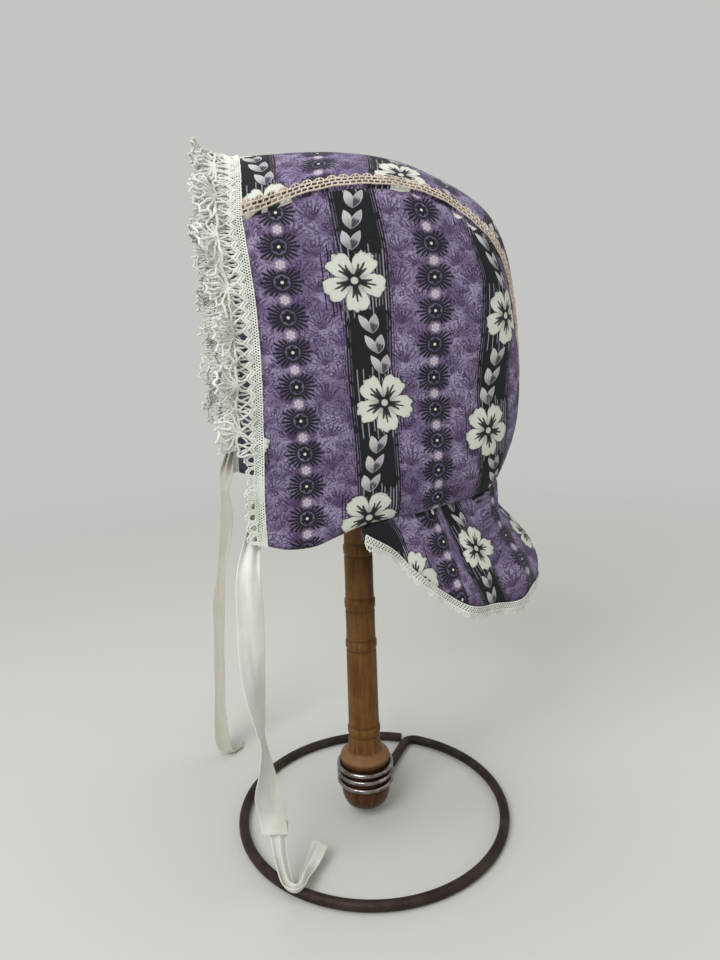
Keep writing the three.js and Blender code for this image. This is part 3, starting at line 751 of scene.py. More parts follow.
panelPlan = {
    "across": 104,
    "up": 96,
    # where the two rosette columns run: height, x of the first, x of the second
    "columns": [
        (176.0, -35.4, 28.5), (188.0, -34.9, 28.3), (202.0, -34.4, 27.7), (217.0, -34.3, 26.7),
        (231.0, -35.3, 26.0), (246.0, -36.4, 24.8), (260.0, -37.1, 25.0), (275.0, -38.1, 25.8),
        (288.0, -39.6, 26.3), (302.0, -40.3, 25.9), (315.0, -40.4, 22.6), (327.0, -40.6, 20.0),
    ],
    "rosetteHeight": 259.8,
    "rosetteSlope": 1.3,          # what a column's rosettes rise by, to the next column
    "printShrink": 0.995,
    "seamRoll": (3.4, 1.5),
    "hemRoll": (2.6, 0.9),
    "swell": (0.028, 1.5),        # how close together, and how high
    "puckers": (0.11, 0.35),
    "tucks": (0.9, 0.4),
}


def readHeights(rows, height):
    at = readSums([row[0] for row in rows], height)
    return readRows(rows, at)[1:]


def panelPrint():
    # print position of every grid point, from real lengths along the cloth
    across, up = panelPlan["across"], panelPlan["up"]
    grid = gridOf(panelPoint, across, up)
    lengthsUp = [lengthsAlong(line) for line in grid]
    heights = [[point.z for point in line] for line in grid]
    spots = {}
    for j in range(up + 1):
        row = [grid[i][j] for i in range(across + 1)]
        sums = lengthsAlong(row)
        xs = [point.x for point in row]
        first, second = readHeights(panelPlan["columns"], grid[across // 3][j].z)
        atFirst, atSecond = (lengthWhere(sums, xs, x) for x in (first, second))
        for i in range(across + 1):
            u = (sums[i] - atFirst) / (atSecond - atFirst) * printPlan["repeat"]
            level = panelPlan["rosetteHeight"] + panelPlan["rosetteSlope"] * u / printPlan["repeat"]
            zero = lengthWhere(lengthsUp[i], heights[i], level)
            spots[(i, j)] = (u, (lengthsUp[i][j] - zero) * panelPlan["printShrink"])
    return grid, spots


panelGrid, panelSpots = panelPrint()


def puckers(point, plan, seed):
    scale, height = plan
    return noise.noise(Vector((point.x * scale, point.z * scale, seed))) * height


def makeSidePanel(side, name, nodeName):
    across, up = panelPlan["across"], panelPlan["up"]
    bottomEdge = [panelGrid[i][0] for i in range(across + 1)]

    def onPanel(u, v):
        u = u if side < 0 else 1 - u
        i, j = round(u * across), round(v * up)
        point = panelGrid[i][j].copy()
        sideways, upwards = slopesAt(panelGrid, i, j)
        normal = sideways.cross(upwards).normalized()
        toSeam = min((panelGrid[i][up] - point).length, (panelGrid[across][j] - point).length)
        toHem = (bottomEdge[i] - point).length
        swell = puckers(point, panelPlan["swell"], 1.0 + side) * ease(toSeam, 2, 22) * ease(toHem, 0, 12)
        point += normal * swell
        point += normal * (puckers(point, panelPlan["puckers"], 5.0 + side) * ease(toSeam, 1, 8))
        # small tucks where the panel is drawn in at the nape and along the crown seam
        pace, height = panelPlan["tucks"]
        tuck = math.sin(i * pace) * height * ease(toSeam, 12, 1.5) * ease(u, 0.35, 0.7)
        point += normal * tuck
        point = rollIn(point, normal, toSeam, *panelPlan["seamRoll"])
        point = rollIn(point, normal, toHem, *panelPlan["hemRoll"])
        point.y *= -side
        return placeCap(point)

    def onPrint(u, v):
        u = u if side < 0 else 1 - u
        return panelSpots[(round(u * across), round(v * up))]

    return cottonPiece(name, nodeName, sideCotton, capPlan["wall"], across, up, onPanel, onPrint)


sidePanelLeft = makeSidePanel(-1, "sidePanelLeft", "side_panel_left")
sidePanelRight = makeSidePanel(1, "sidePanelRight", "side_panel_right")
print("side panels made")

# crown band, from the face edge over the head and down to the nape

bandPlan = {
    "along": 150,
    "across": 72,
    "columnX": -17.4,     # where the first rosette row crosses the band
    "flowerSide": -36.3,  # how far to the left the nearest flower's middle is
    "printSide": -22.4,   # what the print reads there
    "seamRoll": (3.2, 1.5),
    "napeRoll": (3.0, 1.0),
    "allowance": 1.8,     # how far it runs in under the side panels
    "swell": (0.03, 1.2),
    "tucks": (1.25, 0.42),
    "gathers": (21, 0.9),
}


def makeCrownBand():
    along, across = bandPlan["along"], bandPlan["across"]
    grid = gridOf(lambda u, v: crownPoint(u * seamSteps, 2 * v - 1), along, across)
    crest = [grid[i][across // 4] for i in range(along + 1)]
    lengths = lengthsAlong(crest)
    start = lengthWhere(lengths, [point.x for point in crest[: along // 2]], bandPlan["columnX"])
    count, height = bandPlan["gathers"]
    pace, depth = bandPlan["tucks"]

    def onBand(u, v):
        i, j = round(u * along), round(v * across)
        point = grid[i][j].copy()
        forward, sideways = slopesAt(grid, i, j)
        normal = forward.cross(sideways).normalized()
        toSeam = min((grid[i][0] - point).length, (grid[i][across] - point).length)
        toNape = (grid[along][j] - point).length
        point += normal * (puckers(point, bandPlan["swell"], point.y * 0.03) * ease(toSeam, 2, 20))
        gather = math.sin(v * count * 2 * math.pi) * height * ease(toNape, 26, 0) * ease(toSeam, 1, 6)
        point += normal * gather
        # gathers also run a little way in from the curved part of the crown seam
        tuck = math.sin(i * pace) * depth * ease(toSeam, 13, 1.5) * ease(u, 0.28, 0.45)
        point += normal * tuck
        point = rollIn(point, normal, toSeam, *bandPlan["seamRoll"])
        point = rollIn(point, normal, toNape, *bandPlan["napeRoll"])
        if j in (0, across):
            point += sideways.normalized() * (bandPlan["allowance"] if j else -bandPlan["allowance"])
        return placeCap(point)

    def onPrint(u, v):
        i, j = round(u * along), round(v * across)
        sums = lengthsAlong(grid[i])
        zero = lengthWhere(sums, [point.y for point in grid[i]], bandPlan["flowerSide"])
        return lengths[i] - start, sums[j] - zero + bandPlan["printSide"]

    wall = capPlan["wall"]
    return cottonPiece("crownBand", "crown_band", bandCotton, wall, along, across, onBand, onPrint)


crownBand = makeCrownBand()
print("crown band made")

# neck curtain, gathered to the nape

curtainPlan = {
    "across": 168,
    "down": 40,
    "neckColumn": 26.5,
    "hemColumn": 43.0,
    "neckStretch": 1.36,
    "frontStretch": 0.58,
    "tucked": 20,
    "beyond": 2.6,
    "under": (3.4, 1.2),  # how far it goes up behind the panels' edge, and inwards
    "gathers": (34, 0.7),
    "hemRoll": (2.4, 0.6),
    "neckRoll": (2.4, 1.0),
    "printTop": 1.5,
    "printShrink": 0.95,
}


def makeCurtain():
    across, down = curtainPlan["across"], curtainPlan["down"]
    neck = [neckPoint(i / across) for i in range(across + 1)]
    hem = [hemPoint(i / across) for i in range(across + 1)]
    neckSums, hemSums = lengthsAlong(neck), lengthsAlong(hem)
    half = across // 2 + 1
    neckZero = lengthWhere(neckSums, [point.x for point in neck[:half]], curtainPlan["neckColumn"])
    hemZero = lengthWhere(hemSums, [point.x for point in hem[:half]], curtainPlan["hemColumn"])
    grid = gridOf(curtainPoint, across, down)
    upwards, inwards = curtainPlan["under"]
    count, height = curtainPlan["gathers"]

    def onCurtain(u, v):
        i, j = round(u * across), round((1 - v) * down)
        point = grid[i][j].copy()
        sideways, fall = slopesAt(grid, i, j)
        normal = fall.cross(sideways).normalized()
        point += fall.normalized() * (curtainPlan["beyond"] * ease(j / down, 0.8, 1.0))
        below = (point - grid[i][0]).length
        hidden = ease(below, 3.0, 0)
        point -= fall.normalized() * (upwards * hidden) + normal * (inwards * hidden)
        gather = math.sin(u * count * 2 * math.pi + 2 * math.sin(u * 19)) * height
        gather *= ease(below, 26, 3) * ease(below, 0, 2.5) * ease(u, 0.1, 0.22) * ease(u, 0.9, 0.78)
        point += normal * gather
        point = rollIn(point, normal, (point - grid[i][down]).length, *curtainPlan["hemRoll"])
        point = rollIn(point, normal, below, *curtainPlan["neckRoll"])
        return placeCap(point)

    def onPrint(u, v):
        i, j = round(u * across), round((1 - v) * down)
        below = lengthsAlong(grid[i])[j]
        atNeck = (neckSums[i] - neckZero) * curtainPlan["neckStretch"]
        spot = mix(atNeck, hemSums[i] - hemZero, j / down)
        if spot < 0:
            spot *= curtainPlan["frontStretch"]
        else:
            # cloth taken up in a gather behind the first rosette column
            taken = ease(spot, 1, 10) * ease(spot, 56, 32) * mix(1, 0.35, j / down)
            spot += curtainPlan["tucked"] * taken
        return spot, curtainPlan["printTop"] - below * curtainPlan["printShrink"]

    wall = capPlan["curtainWall"]
    return cottonPiece("neckCurtain", "neck_curtain", curtainCotton, wall, across, down, onCurtain, onPrint)


neckCurtain = makeCurtain()
print("neck curtain made")

# lace and ribbon finishes

def threadCotton(name, tone, shade, fleckSize):
    material, tree, shader = startMaterial(name, 0.78, sheen=0.2)
    inPiece = objectPlace(tree)
    soft = noiseOf(tree, inPiece, 90.0, 3.0, 0.6).soft(0.3, 0.7)
    Paint(tree, soft, shade, tone).dry(shader)
    setLevels(shader, {"Subsurface Weight": 0.12, "Subsurface Radius": (0.002, 0.002, 0.002)})
    twist = noiseOf(tree, inPiece, fleckSize, 2.0, 0.7)
    addBump(tree, shader, twist, 0.6, 0.00025)
    return material


whiteThread = threadCotton("whiteThread", (0.72, 0.74, 0.68), (0.54, 0.56, 0.50), 1700.0)
trimThread = threadCotton("trimThread", (0.64, 0.545, 0.45), (0.46, 0.38, 0.31), 1500.0)


def satinRibbon(name, dark, pale):
    material, tree, shader = startMaterial(name, 0.42, sheen=0.25)
    across, along = clothPlace(tree)[1:]
    clouds = noiseOf(tree, objectPlace(tree, (1, 1, 0.35)), 85.0, 3.0, 0.6).soft(0.3, 0.7)
    paint = Paint(tree, clouds, dark, pale)
    edge = across.bare().soft(5.6, 6.3) * 0.35
    paint.lay(edge, (0.77, 0.765, 0.71))
    paint.dry(shader)
    setLevels(shader, {
        "Anisotropic": 0.4, "Subsurface Weight": 0.1, "Subsurface Radius": (0.002, 0.002, 0.002),
    })
    warp = (across * (2 * math.pi / 0.36)).calc("SINE")
    weft = (along * (2 * math.pi / 0.55)).calc("SINE") * 0.6
    crumple = noiseOf(tree, objectPlace(tree, (1, 1, 0.3)), 260.0, 2.0, 0.6) * 2.5
    addBump(tree, shader, warp * 0.4 + weft + crumple, 0.3, 0.0002)
    return material


whiteRibbon = satinRibbon("whiteRibbon", (0.60, 0.59, 0.525), (0.73, 0.715, 0.665))
# the far ribbon gets a darker, yellower copy of the same satin
darkerRibbon = satinRibbon("darkerRibbon", (0.44, 0.425, 0.35), (0.53, 0.515, 0.445))

# face edge: a line from the left chin over the crown to the right chin

def faceLine():
    left = [leftOf("front", k / 60) for k in range(61)]
    over = [crownPoint(0, -1 + k / 40) for k in range(1, 80)]
    right = [Vector((p.x, -p.y, p.z)) for p in reversed(left)]
    return left + over + right


facePoints = faceLine()
faceSums = lengthsAlong(facePoints)
faceLength = faceSums[-1]


def pointAlong(points, position):
    at = min(max(position, 0), len(points) - 1.001)
    low = int(at)
    return points[low].lerp(points[low + 1], at - low)


def alongFace(s):
    return pointAlong(facePoints, readSums(faceSums, s))


def onFace(s, reach, lift):
    # reach goes forward of the cloth's edge and lift goes outwards
    point = alongFace(s)
    ahead = alongFace(min(s + 4, faceLength)) - alongFace(max(s - 4, 0))
    outwards = Vector((0, -ahead.z, ahead.y)).normalized()
    return placeCap(point + Vector((-reach, 0, 0)) + outwards * lift)


def holedStrip(name, plan, pointAt):
    # a strip of cloth-like lace: a grid whose chosen cells are open
    columns, edges, holeRows = plan["columns"], plan["edges"], plan["holeRows"]
    rows = len(edges) - 1
    bm = bmesh.new()
    shares = addGrid(bm, columns, rows)
    openCells = []
    for face in bm.faces:
        middle = face.calc_center_median()
        column = int((middle.x + 0.5) * columns)
        row = int((middle.y + 0.5) * rows)
        if row in holeRows and (column + holeRows[row]) % 2:
            openCells.append(face)
    for vertex, (u, v) in shares.items():
        vertex.co = pointAt(u, edges[round(v * rows)])
    bmesh.ops.delete(bm, geom=openCells, context="FACES")
    return meshFrom(bm, name)


def roundThreads(piece, thickness):
    # gives a holed strip the look of worked threads
    giveWall(piece, thickness).offset = 0
    smoothOut(piece)


headingPlan = {
    "columns": 680,
    "edges": [-0.4, 0.15, 0.78, 1.05, 1.68, 1.95, 2.58, 2.85, 3.4, 3.9],
    "holeRows": {1: 0, 3: 1, 5: 0, 7: 1},
    "thickness": 0.4,
}


def makeHeading():
    def onHeading(u, reach):
        s = u * faceLength
        lift = mix(0.75, -0.5, ease(reach, -0.3, 2.2)) + 0.25 * math.sin(s * 0.55) * ease(reach, 0, 3)
        uneven = noise.noise(Vector((s * 0.8, reach * 1.7, 4.0)))
        return onFace(s + uneven * 0.3, reach + uneven * 0.35, lift + uneven * 0.3)

    mesh = holedStrip("faceHeading", headingPlan, onHeading)
    piece = newPiece("faceHeading", mesh, ["face_heading"], "white_lace", whiteThread)
    roundThreads(piece, headingPlan["thickness"])


makeHeading()

# wide ruffle: a toothed edge, a straight spine cord with hubs, fans of spokes, and nets behind them

rufflePlan = {
    "from": 0.105,
    "to": 0.915,
    "hubs": 16,
    "teeth": 4,           # to each hub
    "toothLow": 3.7,
    "toothHigh": 5.9,
    "spine": 10.4,
    "spoke": 8.2,
    "picot": 9.9,
    "spokes": 7,
    "spread": 74,         # degrees from the middle spoke to the last
    "backFan": (6, 62, 5.6, 1.3),  # spokes, spread, reach, and what each second one adds
    "knot": 0.82,
    "thread": 0.96,
    "net": 1.75,          # step of the nets behind
    "openTo": 2.6,        # hubs over which those stay half open
    # for each net its phase, inner and outer reach, and lift
    "nets": ((0, 3.1, 11.0, -1.0), (1, 3.1, 11.0, -1.0), (0, 9.6, 16.4, -1.6), (1, 9.6, 17.6, -1.9)),
    # what is drawn at random for every fan: its tilt, turn in degrees and size, and the cloth's waves
    "tilts": (-0.35, 0.8),
    "twists": (-21, 21),
    "sizes": (0.84, 1.08),
    "waves": (0.6, 1.4),
    "seed": 11,
}


def fine(points, step, wobble, rng, swell=0.12):
    # a strand with worked, uneven thickness: (s, reach, lift) points, closer together
    result = []
    for a, b in zip(points, points[1:]):
        length = math.dist(a, b)
        count = max(1, round(length / step))
        for k in range(count):
            spot = [mix(x, y, k / count) + rng.uniform(-wobble, wobble) for x, y in zip(a, b)]
            result.append((spot, 1 + rng.uniform(-swell, swell)))
    result.append((list(points[-1]), 1))
    return result


def makeRuffle():
    plan = rufflePlan
    rng = random.Random(plan["seed"])
    noise.seed_set(plan["seed"])  # or noise_vector takes its seed from the clock
    start, end = plan["from"] * faceLength, plan["to"] * faceLength
    pitch = (end - start) / plan["hubs"]
    tooth = pitch / plan["teeth"]
    tilts, twists, sizes, waves = (
        [rng.uniform(*plan[key]) for k in range(plan["hubs"] + (key == "waves"))]
        for key in ("tilts", "twists", "sizes", "waves")
    )

    def readSteps(values, position):
        low = min(max(int(position), 0), len(values) - 2)
        return mix(values[low], values[low + 1], min(max(position - low, 0), 1))

    def lifted(s, reach, extra):
        out = reach - 3.8
        position = (s - start) / pitch
        size = readSteps(waves, position)
        wave = math.sin(position * 2 * math.pi * 0.72 + 0.8) * 2.1 * size * (max(out, 0) / 13) ** 1.6
        free = min(max(out, 0) / 5, 1)
        crumple = noise.noise_vector(Vector((s * 0.17, reach * 0.22, 3.0 + extra * 0.1)))
        fuzz = noise.noise_vector(Vector((s * 0.62, reach * 0.7, 9.0)))
        s += (crumple.x * 1.9 + fuzz.x * 0.55) * free
        reach += (crumple.y * 1.5 + fuzz.y * 0.5) * free
        return onFace(s, reach, -0.5 + out * 0.10 + wave + extra + (crumple.z * 2.4 + fuzz.z * 0.6) * free)

    def hubAt(h):
        return start + (h + 0.5) * pitch

    def turnOf(h, k):
        share = k / (plan["spokes"] - 1)
        return math.radians(mix(-plan["spread"], plan["spread"], share) + twists[h])

    def fanSpot(h, angle, far, loose=0.0):
        sway = 1.5 * math.sin(2.4 * angle + h * 2.1) + loose
        lean = far * tilts[h] * math.cos(angle)
        return hubAt(h) + far * math.sin(angle), plan["spine"] + far * math.cos(angle), lean + sway

    heavy, light, knots = [], [], []

    def strand(target, points, step=1.1, wobble=0.06):
        target.append([(lifted(*spot), share) for spot, share in fine(points, step, wobble, rng)])

    teeth = []
    for k in range(plan["hubs"] * plan["teeth"]):
        teeth += [(start + k * tooth, plan["toothLow"], 0), (start + (k + 0.5) * tooth, plan["toothHigh"], 0)]
    teeth.append((end, plan["toothLow"], 0))
    strand(heavy, teeth, 0.9)
    strand(heavy, [(s, reach - 1.3, 0.1) for s, reach, lift in teeth], 0.9)
    strand(heavy, [(start, plan["toothLow"], 0), (start, plan["spine"], 0)])
    strand(heavy, [(end, plan["toothLow"], 0), (end, plan["spine"], 0)])
    strand(heavy, [(start + k * pitch / 4, plan["spine"], 0) for k in range(plan["hubs"] * 4 + 1)], 1.2)
    edge = []
    for h in range(plan["hubs"]):
        hub, spine = hubAt(h), plan["spine"]
        for at, to in ((-1.5, (-2, -1)), (-0.5, (-0.4, 0)), (0.5, (0, 0.4)), (1.5, (1, 2))):
            for target in to:
                strand(light, [(hub + at * tooth, plan["toothHigh"], 0), (hub + target * tooth, spine, 0)])
        knots.append((hub, spine, 0.1))
        ends = []
        for k in range(plan["spokes"]):
            angle = turnOf(h, k)
            tip = fanSpot(h, angle, plan["spoke"] * sizes[h] * (1 - 0.10 * abs(math.sin(angle))))
            strand(light, [(hub, spine, 0), tip])
            halfway = (mix(hub, tip[0], 0.5) + 0.25, mix(spine, tip[1], 0.5), tip[2] * 0.5 + 0.2)
            strand(light, [(hub + 0.3, spine + 0.2, 0.25), halfway])
            ends.append(tip)
        for k, tip in enumerate(ends):
            edge.append(tip)
            if k < len(ends) - 1:
                far = plan["picot"] * sizes[h] * rng.uniform(0.92, 1.05)
                edge.append(fanSpot(h, turnOf(h, k + 0.5), far, rng.uniform(-0.5, 0.5)))
                knots.append(edge[-1])
        # a smaller fan behind the first
        spokes, spread, short, step = plan["backFan"]
        back = []
        for k in range(spokes):
            angle = math.radians(mix(-spread, spread, k / (spokes - 1)) - twists[h])
            far = short + step * (k % 2)
            droop = -0.9 - far * 0.25 * math.cos(angle)
            back.append((hub + far * math.sin(angle), spine + far * math.cos(angle), droop))
            strand(light, [(hub, spine, -0.3), back[-1]])
        strand(light, back)
    strand(heavy, edge, 0.9)

    # nets behind the teeth and behind the fans close most of the holes
    count = int((end - start) / plan["net"])
    for phase, inner, outer, lift in plan["nets"]:
        net = []
        for k in range(count + 1):
            s = start + (end - start) * k / count
            if s < start + plan["openTo"] * pitch and (k + phase) % 4 < 2:
                continue
            reach = inner if (k + phase) % 2 else outer
            net.append((s, reach + rng.uniform(-0.8, 0.8), lift + rng.uniform(-0.4, 0.4)))
        strand(light, net, 1.5, 0.12)

    meshes = []
    for name, strands, share in (("ruffleHeavy", heavy, 1.15), ("ruffleLight", light, 0.92)):
        meshes.append(threadMesh(name, strands, plan["thread"] * share, 8))
    knotPlaces = [lifted(*spot) for spot in knots]
    meshes.append(knotMesh("ruffleKnots", knotPlaces, plan["knot"]))
    newPiece("faceRuffle", joinMeshes("faceRuffle", meshes), ["face_ruffle"], "white_lace", whiteThread)


def knotMesh(name, places, size):
    bm = bmesh.new()
    for spot in places:
        made = bmesh.ops.create_icosphere(bm, subdivisions=1, radius=size / 1000)
        bmesh.ops.translate(bm, verts=made["verts"], vec=spot)
    return meshFrom(bm, name)


def joinMeshes(name, meshes):
    bm = bmesh.new()
    for mesh in meshes:
        bm.from_mesh(mesh)
    joined = meshFrom(bm, name)
    for mesh in meshes:
        bpy.data.meshes.remove(mesh)
    return joined


makeRuffle()
print("face lace made")

# cheek edging below the ruffle: a toothed cord with oval loops

cheekPlan = {"from": 1.2, "loops": 8, "low": 3.5, "high": 7.9, "thread": 0.85, "knot": 0.62, "seed": 5}


def makeCheekEdging(side, name, nodeName):
    plan = cheekPlan
    rng = random.Random(plan["seed"] + side)
    start, end = plan["from"], rufflePlan["from"] * faceLength
    pitch = (end - start) / plan["loops"]

    def spot(s, reach, lift):
        return onFace(s if side < 0 else faceLength - s, reach, lift - 0.5)

    strands, knots = [], []
    base = [(start + k * pitch / 4, plan["low"] + 0.3 * (k % 2), 0) for k in range(plan["loops"] * 4 + 1)]
    strands.append([(spot(*p), share) for p, share in fine(base, 0.8, 0.08, rng)])
    for k in range(plan["loops"]):
        middle = start + (k + 0.5) * pitch + rng.uniform(-0.4, 0.4)
        tall = plan["high"] * rng.uniform(0.84, 1.06)
        for size in (1.0, 0.72):
            loop = []
            for n in range(13):
                turn = math.pi * (n / 12) * 1.24 - math.pi * 0.12
                loop.append((
                    middle - math.cos(turn) * pitch * rng.uniform(0.43, 0.5) * size,
                    plan["low"] + 0.5 + max(math.sin(turn), -0.25) * (tall - plan["low"] - 0.5) * size,
                    0.25 * math.sin(turn),
                ))
            strands.append([(spot(*p), share) for p, share in fine(loop, 0.8, 0.08, rng)])
        for n in (-0.42, -0.15, 0.15, 0.42):
            reach = plan["low"] + (tall - plan["low"]) * (1.0 - 1.6 * n * n)
            knots.append(spot(middle + n * pitch, reach, 0.3))
    loops, dots = threadMesh("loops", strands, plan["thread"], 8), knotMesh("knots", knots, plan["knot"])
    newPiece(name, joinMeshes(name, [loops, dots]), [nodeName], "white_lace", whiteThread)


makeCheekEdging(-1, "cheekEdgingLeft", "cheek_edging_left")
makeCheekEdging(1, "cheekEdgingRight", "cheek_edging_right")

# lace round the curtain's hem

hemLacePlan = {
    "columns": 400,
    "edges": [-1.6, -0.95, -0.25, 0.08, 0.82, 1.15, 1.9, 2.2, 3.0],
    "holeRows": {1: 0, 3: 1, 5: 0},
    "thickness": 0.45,
    "scallops": 66,
    "dip": 2.1,
    "base": 2.8,          # how far below the hem the scallops start
    "lift": 0.75,
    "ends": (0.022, 0.978),
    "thread": 0.55,
    "knot": 0.42,
    "seed": 3,
}


def makeHemLace():
    plan = hemLacePlan
    rng = random.Random(plan["seed"])
    steps = 400
    hem, above = ([curtainPoint(mix(*plan["ends"], k / steps), down) for k in range(steps + 1)]
                  for down in (1, 0.9))
    sums = lengthsAlong(hem)

    def onLace(share, reach):
        at = min(readSums(sums, share * sums[-1]), steps - 0.001)
        point = pointAlong(hem, at)
        fall = (point - pointAlong(above, at)).normalized()
        low = int(at)
        normal = fall.cross(hem[min(low + 2, steps)] - hem[max(low - 2, 0)]).normalized()
        ripple = 0.35 * math.sin(share * 190) * max(reach, 0) / 4
        return placeCap(point + fall * reach + normal * (ripple + plan["lift"]))

    strip = holedStrip("hemStrip", plan, onLace)
    edge, knots, bars = [], [], []
    count = plan["scallops"]
    for k in range(count):
        arc = []
        for n in range(9):
            turn = math.pi * n / 8
            reach = plan["base"] + plan["dip"] * math.sin(turn) ** 0.8 * rng.uniform(0.95, 1.05)
            arc.append(((k + n / 8) / count, reach))
        edge += [onLace(*p) for p in arc[:-1]]
        for n in (2, 4, 6):
            bars.append([onLace(arc[n][0], 2.4), onLace(*arc[n])])
            knots.append(onLace(arc[n][0], arc[n][1] + 0.28))
    edge.append(onLace(1, plan["base"]))
    ends = [[onLace(share, r) for r in (-1.0, 0, 1, 2, 2.9)] for share in (0.0, 1.0)]
    threads = threadMesh("hemThreads", [edge] + ends, plan["thread"] * 1.25, 6)
    rungs = threadMesh("hemRungs", bars, plan["thread"], 6)
    piece = newPiece("curtainLace", strip, ["curtain_lace"], "white_lace", whiteThread)
    roundThreads(piece, plan["thickness"])
    scallops = joinMeshes("curtainScallops", [threads, rungs, knotMesh("hemKnots", knots, plan["knot"])])
    newPiece("curtainScallops", scallops, [], "white_lace", whiteThread)


makeHemLace()
print("edgings made")

# narrow ladder lace over the crown seams

ladderPlan = {
    "cords": (0.3, 2.1, 3.9),
    "step": 1.15,
    "rung": 2.6,
    "scallop": 5.2,
    "crest": 2.0,
    "lift": 0.75,
    "thread": 0.72,
    "seed": 8,
}


def makeLadder(side, name, nodeName):
    plan = ladderPlan
    rng = random.Random(plan["seed"])
    steps = 460
    seam = [crownPoint(k / steps * seamSteps, -1) for k in range(steps + 1)]
    sums = lengthsAlong(seam)

    def spot(s, out, extra=0.0):
        at = min(max(readSums(sums, s), 0), steps)
        step = at / steps * seamSteps
        halfBand = (crownPoint(step, -1) - crownPoint(step, 0)).length
        sideways = -1 + out / halfBand
        point = crownPoint(step, sideways)
        ahead = crownPoint(min(step + 0.2, seamSteps), sideways) - crownPoint(max(step - 0.2, 0), sideways)
        across = crownPoint(step, sideways + 0.02) - point
        normal = ahead.cross(across).normalized()
        point = point + normal * (plan["lift"] + extra + 0.12 * math.sin(s * 0.5))
        point.y *= -side
        return placeCap(point)

    cords, rungs = [], []
    length = sums[-1]
    for out in plan["cords"]:
        count = int(length / plan["step"])
        cords.append([
            (spot(k * length / count, out + rng.uniform(-0.1, 0.1)), 1 + rng.uniform(-0.15, 0.15))
            for k in range(count + 1)
        ])
    rows = list(zip(plan["cords"], plan["cords"][1:]))
    for k in range(int(length / plan["rung"])):
        for row, (low, high) in enumerate(rows):
            s = (k + 0.5 * row + 0.25) * plan["rung"]
            rungs.append([spot(s, low), spot(s + 0.1, (low + high) / 2, 0.12), spot(s, high)])
    for k in range(int(length / plan["scallop"])):
        start = k * plan["scallop"]
        arc = []
        for n in range(9):
            turn = math.pi * n / 8
            out = plan["cords"][-1] + plan["crest"] * math.sin(turn)
            arc.append(spot(start + plan["scallop"] * n / 8, out))
        rungs.append(arc)
        rungs.append([spot(start + plan["scallop"] * 0.5, plan["cords"][-1]), arc[4]])
    thick, thin = plan["thread"] * 1.1, plan["thread"] * 0.85
    mesh = joinMeshes(name, [threadMesh("cords", cords, thick, 8), threadMesh("rungs", rungs, thin, 6)])
    newPiece(name, mesh, [nodeName], "seam_lace", trimThread)


makeLadder(-1, "seamLaceLeft", "seam_lace_left")
makeLadder(1, "seamLaceRight", "seam_lace_right")
print("seam laces made")

# tie ribbons

ribbonPlan = {
    "width": 12.7,
    "wall": 0.55,
    "across": 14,
    "rowSteps": 9,
    "pleats": (1.6, 3.2),   # how many, and how high where the ribbon is drawn together
    "creases": ((0.09, 0.035, 1.3), (0.35, 0.05, 0.35)),
    "fray": 2.4,
    # middle of the ribbon x, y, z, bearing of its width, share of the width kept
    "left": [
        (-54.5, -46.8, 192, 0, 0.55), (-56.5, -46.9, 184, 0, 0.55), (-58.6, -47.8, 176, 0, 0.62),
        (-61.0, -50.6, 167, 2, 0.76), (-62.2, -53.8, 158, 5, 0.9), (-62.3, -55.6, 147, 10, 0.98),
        (-62.6, -57.0, 131, 20, 1), (-62.6, -57.0, 116, 32, 1), (-62.0, -56.4, 104, 46, 1),
        (-61.2, -55.4, 92, 60, 1), (-60.8, -54.2, 82, 72, 1), (-60.3, -52.2, 67, 48, 1),
        (-59.2, -49.2, 52, 4, 1), (-57.8, -47.0, 41, -12, 1), (-57.2, -47.0, 34, -12, 1),
        (-56.9, -47.2, 30.0, -12, 1), (-56.6, -46.0, 30.2, -12, 0.98), (-56.0, -45.4, 34.4, -12, 0.94),
        (-55.6, -44.4, 34.6, -12, 0.84), (-55.2, -44.9, 30.0, -12, 0.68), (-54.8, -48.6, 18, -8, 0.5),
        (-53.2, -53.4, 8.6, 10, 0.46), (-49.8, -56.4, 6.8, 60, 0.42), (-46.2, -54.2, 6.5, 110, 0.42),
        (-43.8, -49.0, 6.4, 128, 0.5), (-40.4, -43.0, 5.0, 128, 0.62), (-36.4, -37.0, 6.4, 128, 0.74),
        (-32.6, -31.4, 8.6, 130, 0.8),
    ],
    "right": [
        (-56.0, 69.9, 204, 0, 0.34), (-57.8, 70.3, 198, -8, 0.34), (-60.0, 71.0, 190, -30, 0.48),
        (-61.8, 72.4, 182, -62, 0.8), (-62.8, 74.8, 174, -79, 1), (-62.4, 76.6, 166, -72, 1),
        (-63.0, 77.0, 156, -60, 1), (-64.4, 77.2, 143, -62, 1), (-67.2, 77.6, 124, -69, 1),
        (-70.0, 78.0, 104, -57, 1), (-71.0, 78.4, 84, -63, 1), (-73.0, 78.8, 61, -67, 1),
        (-74.6, 79.0, 38, -62, 1), (-75.0, 79.0, 20, -54, 1), (-74.6, 78.4, 8, -42, 1),
        (-72.6, 77.0, 2.2, -28, 0.85), (-69.6, 78.0, 0.9, 10, 0.6), (-66.0, 80.4, 0.9, 50, 0.6),
        (-62.4, 83.0, 2.6, 80, 0.6),
    ],
}


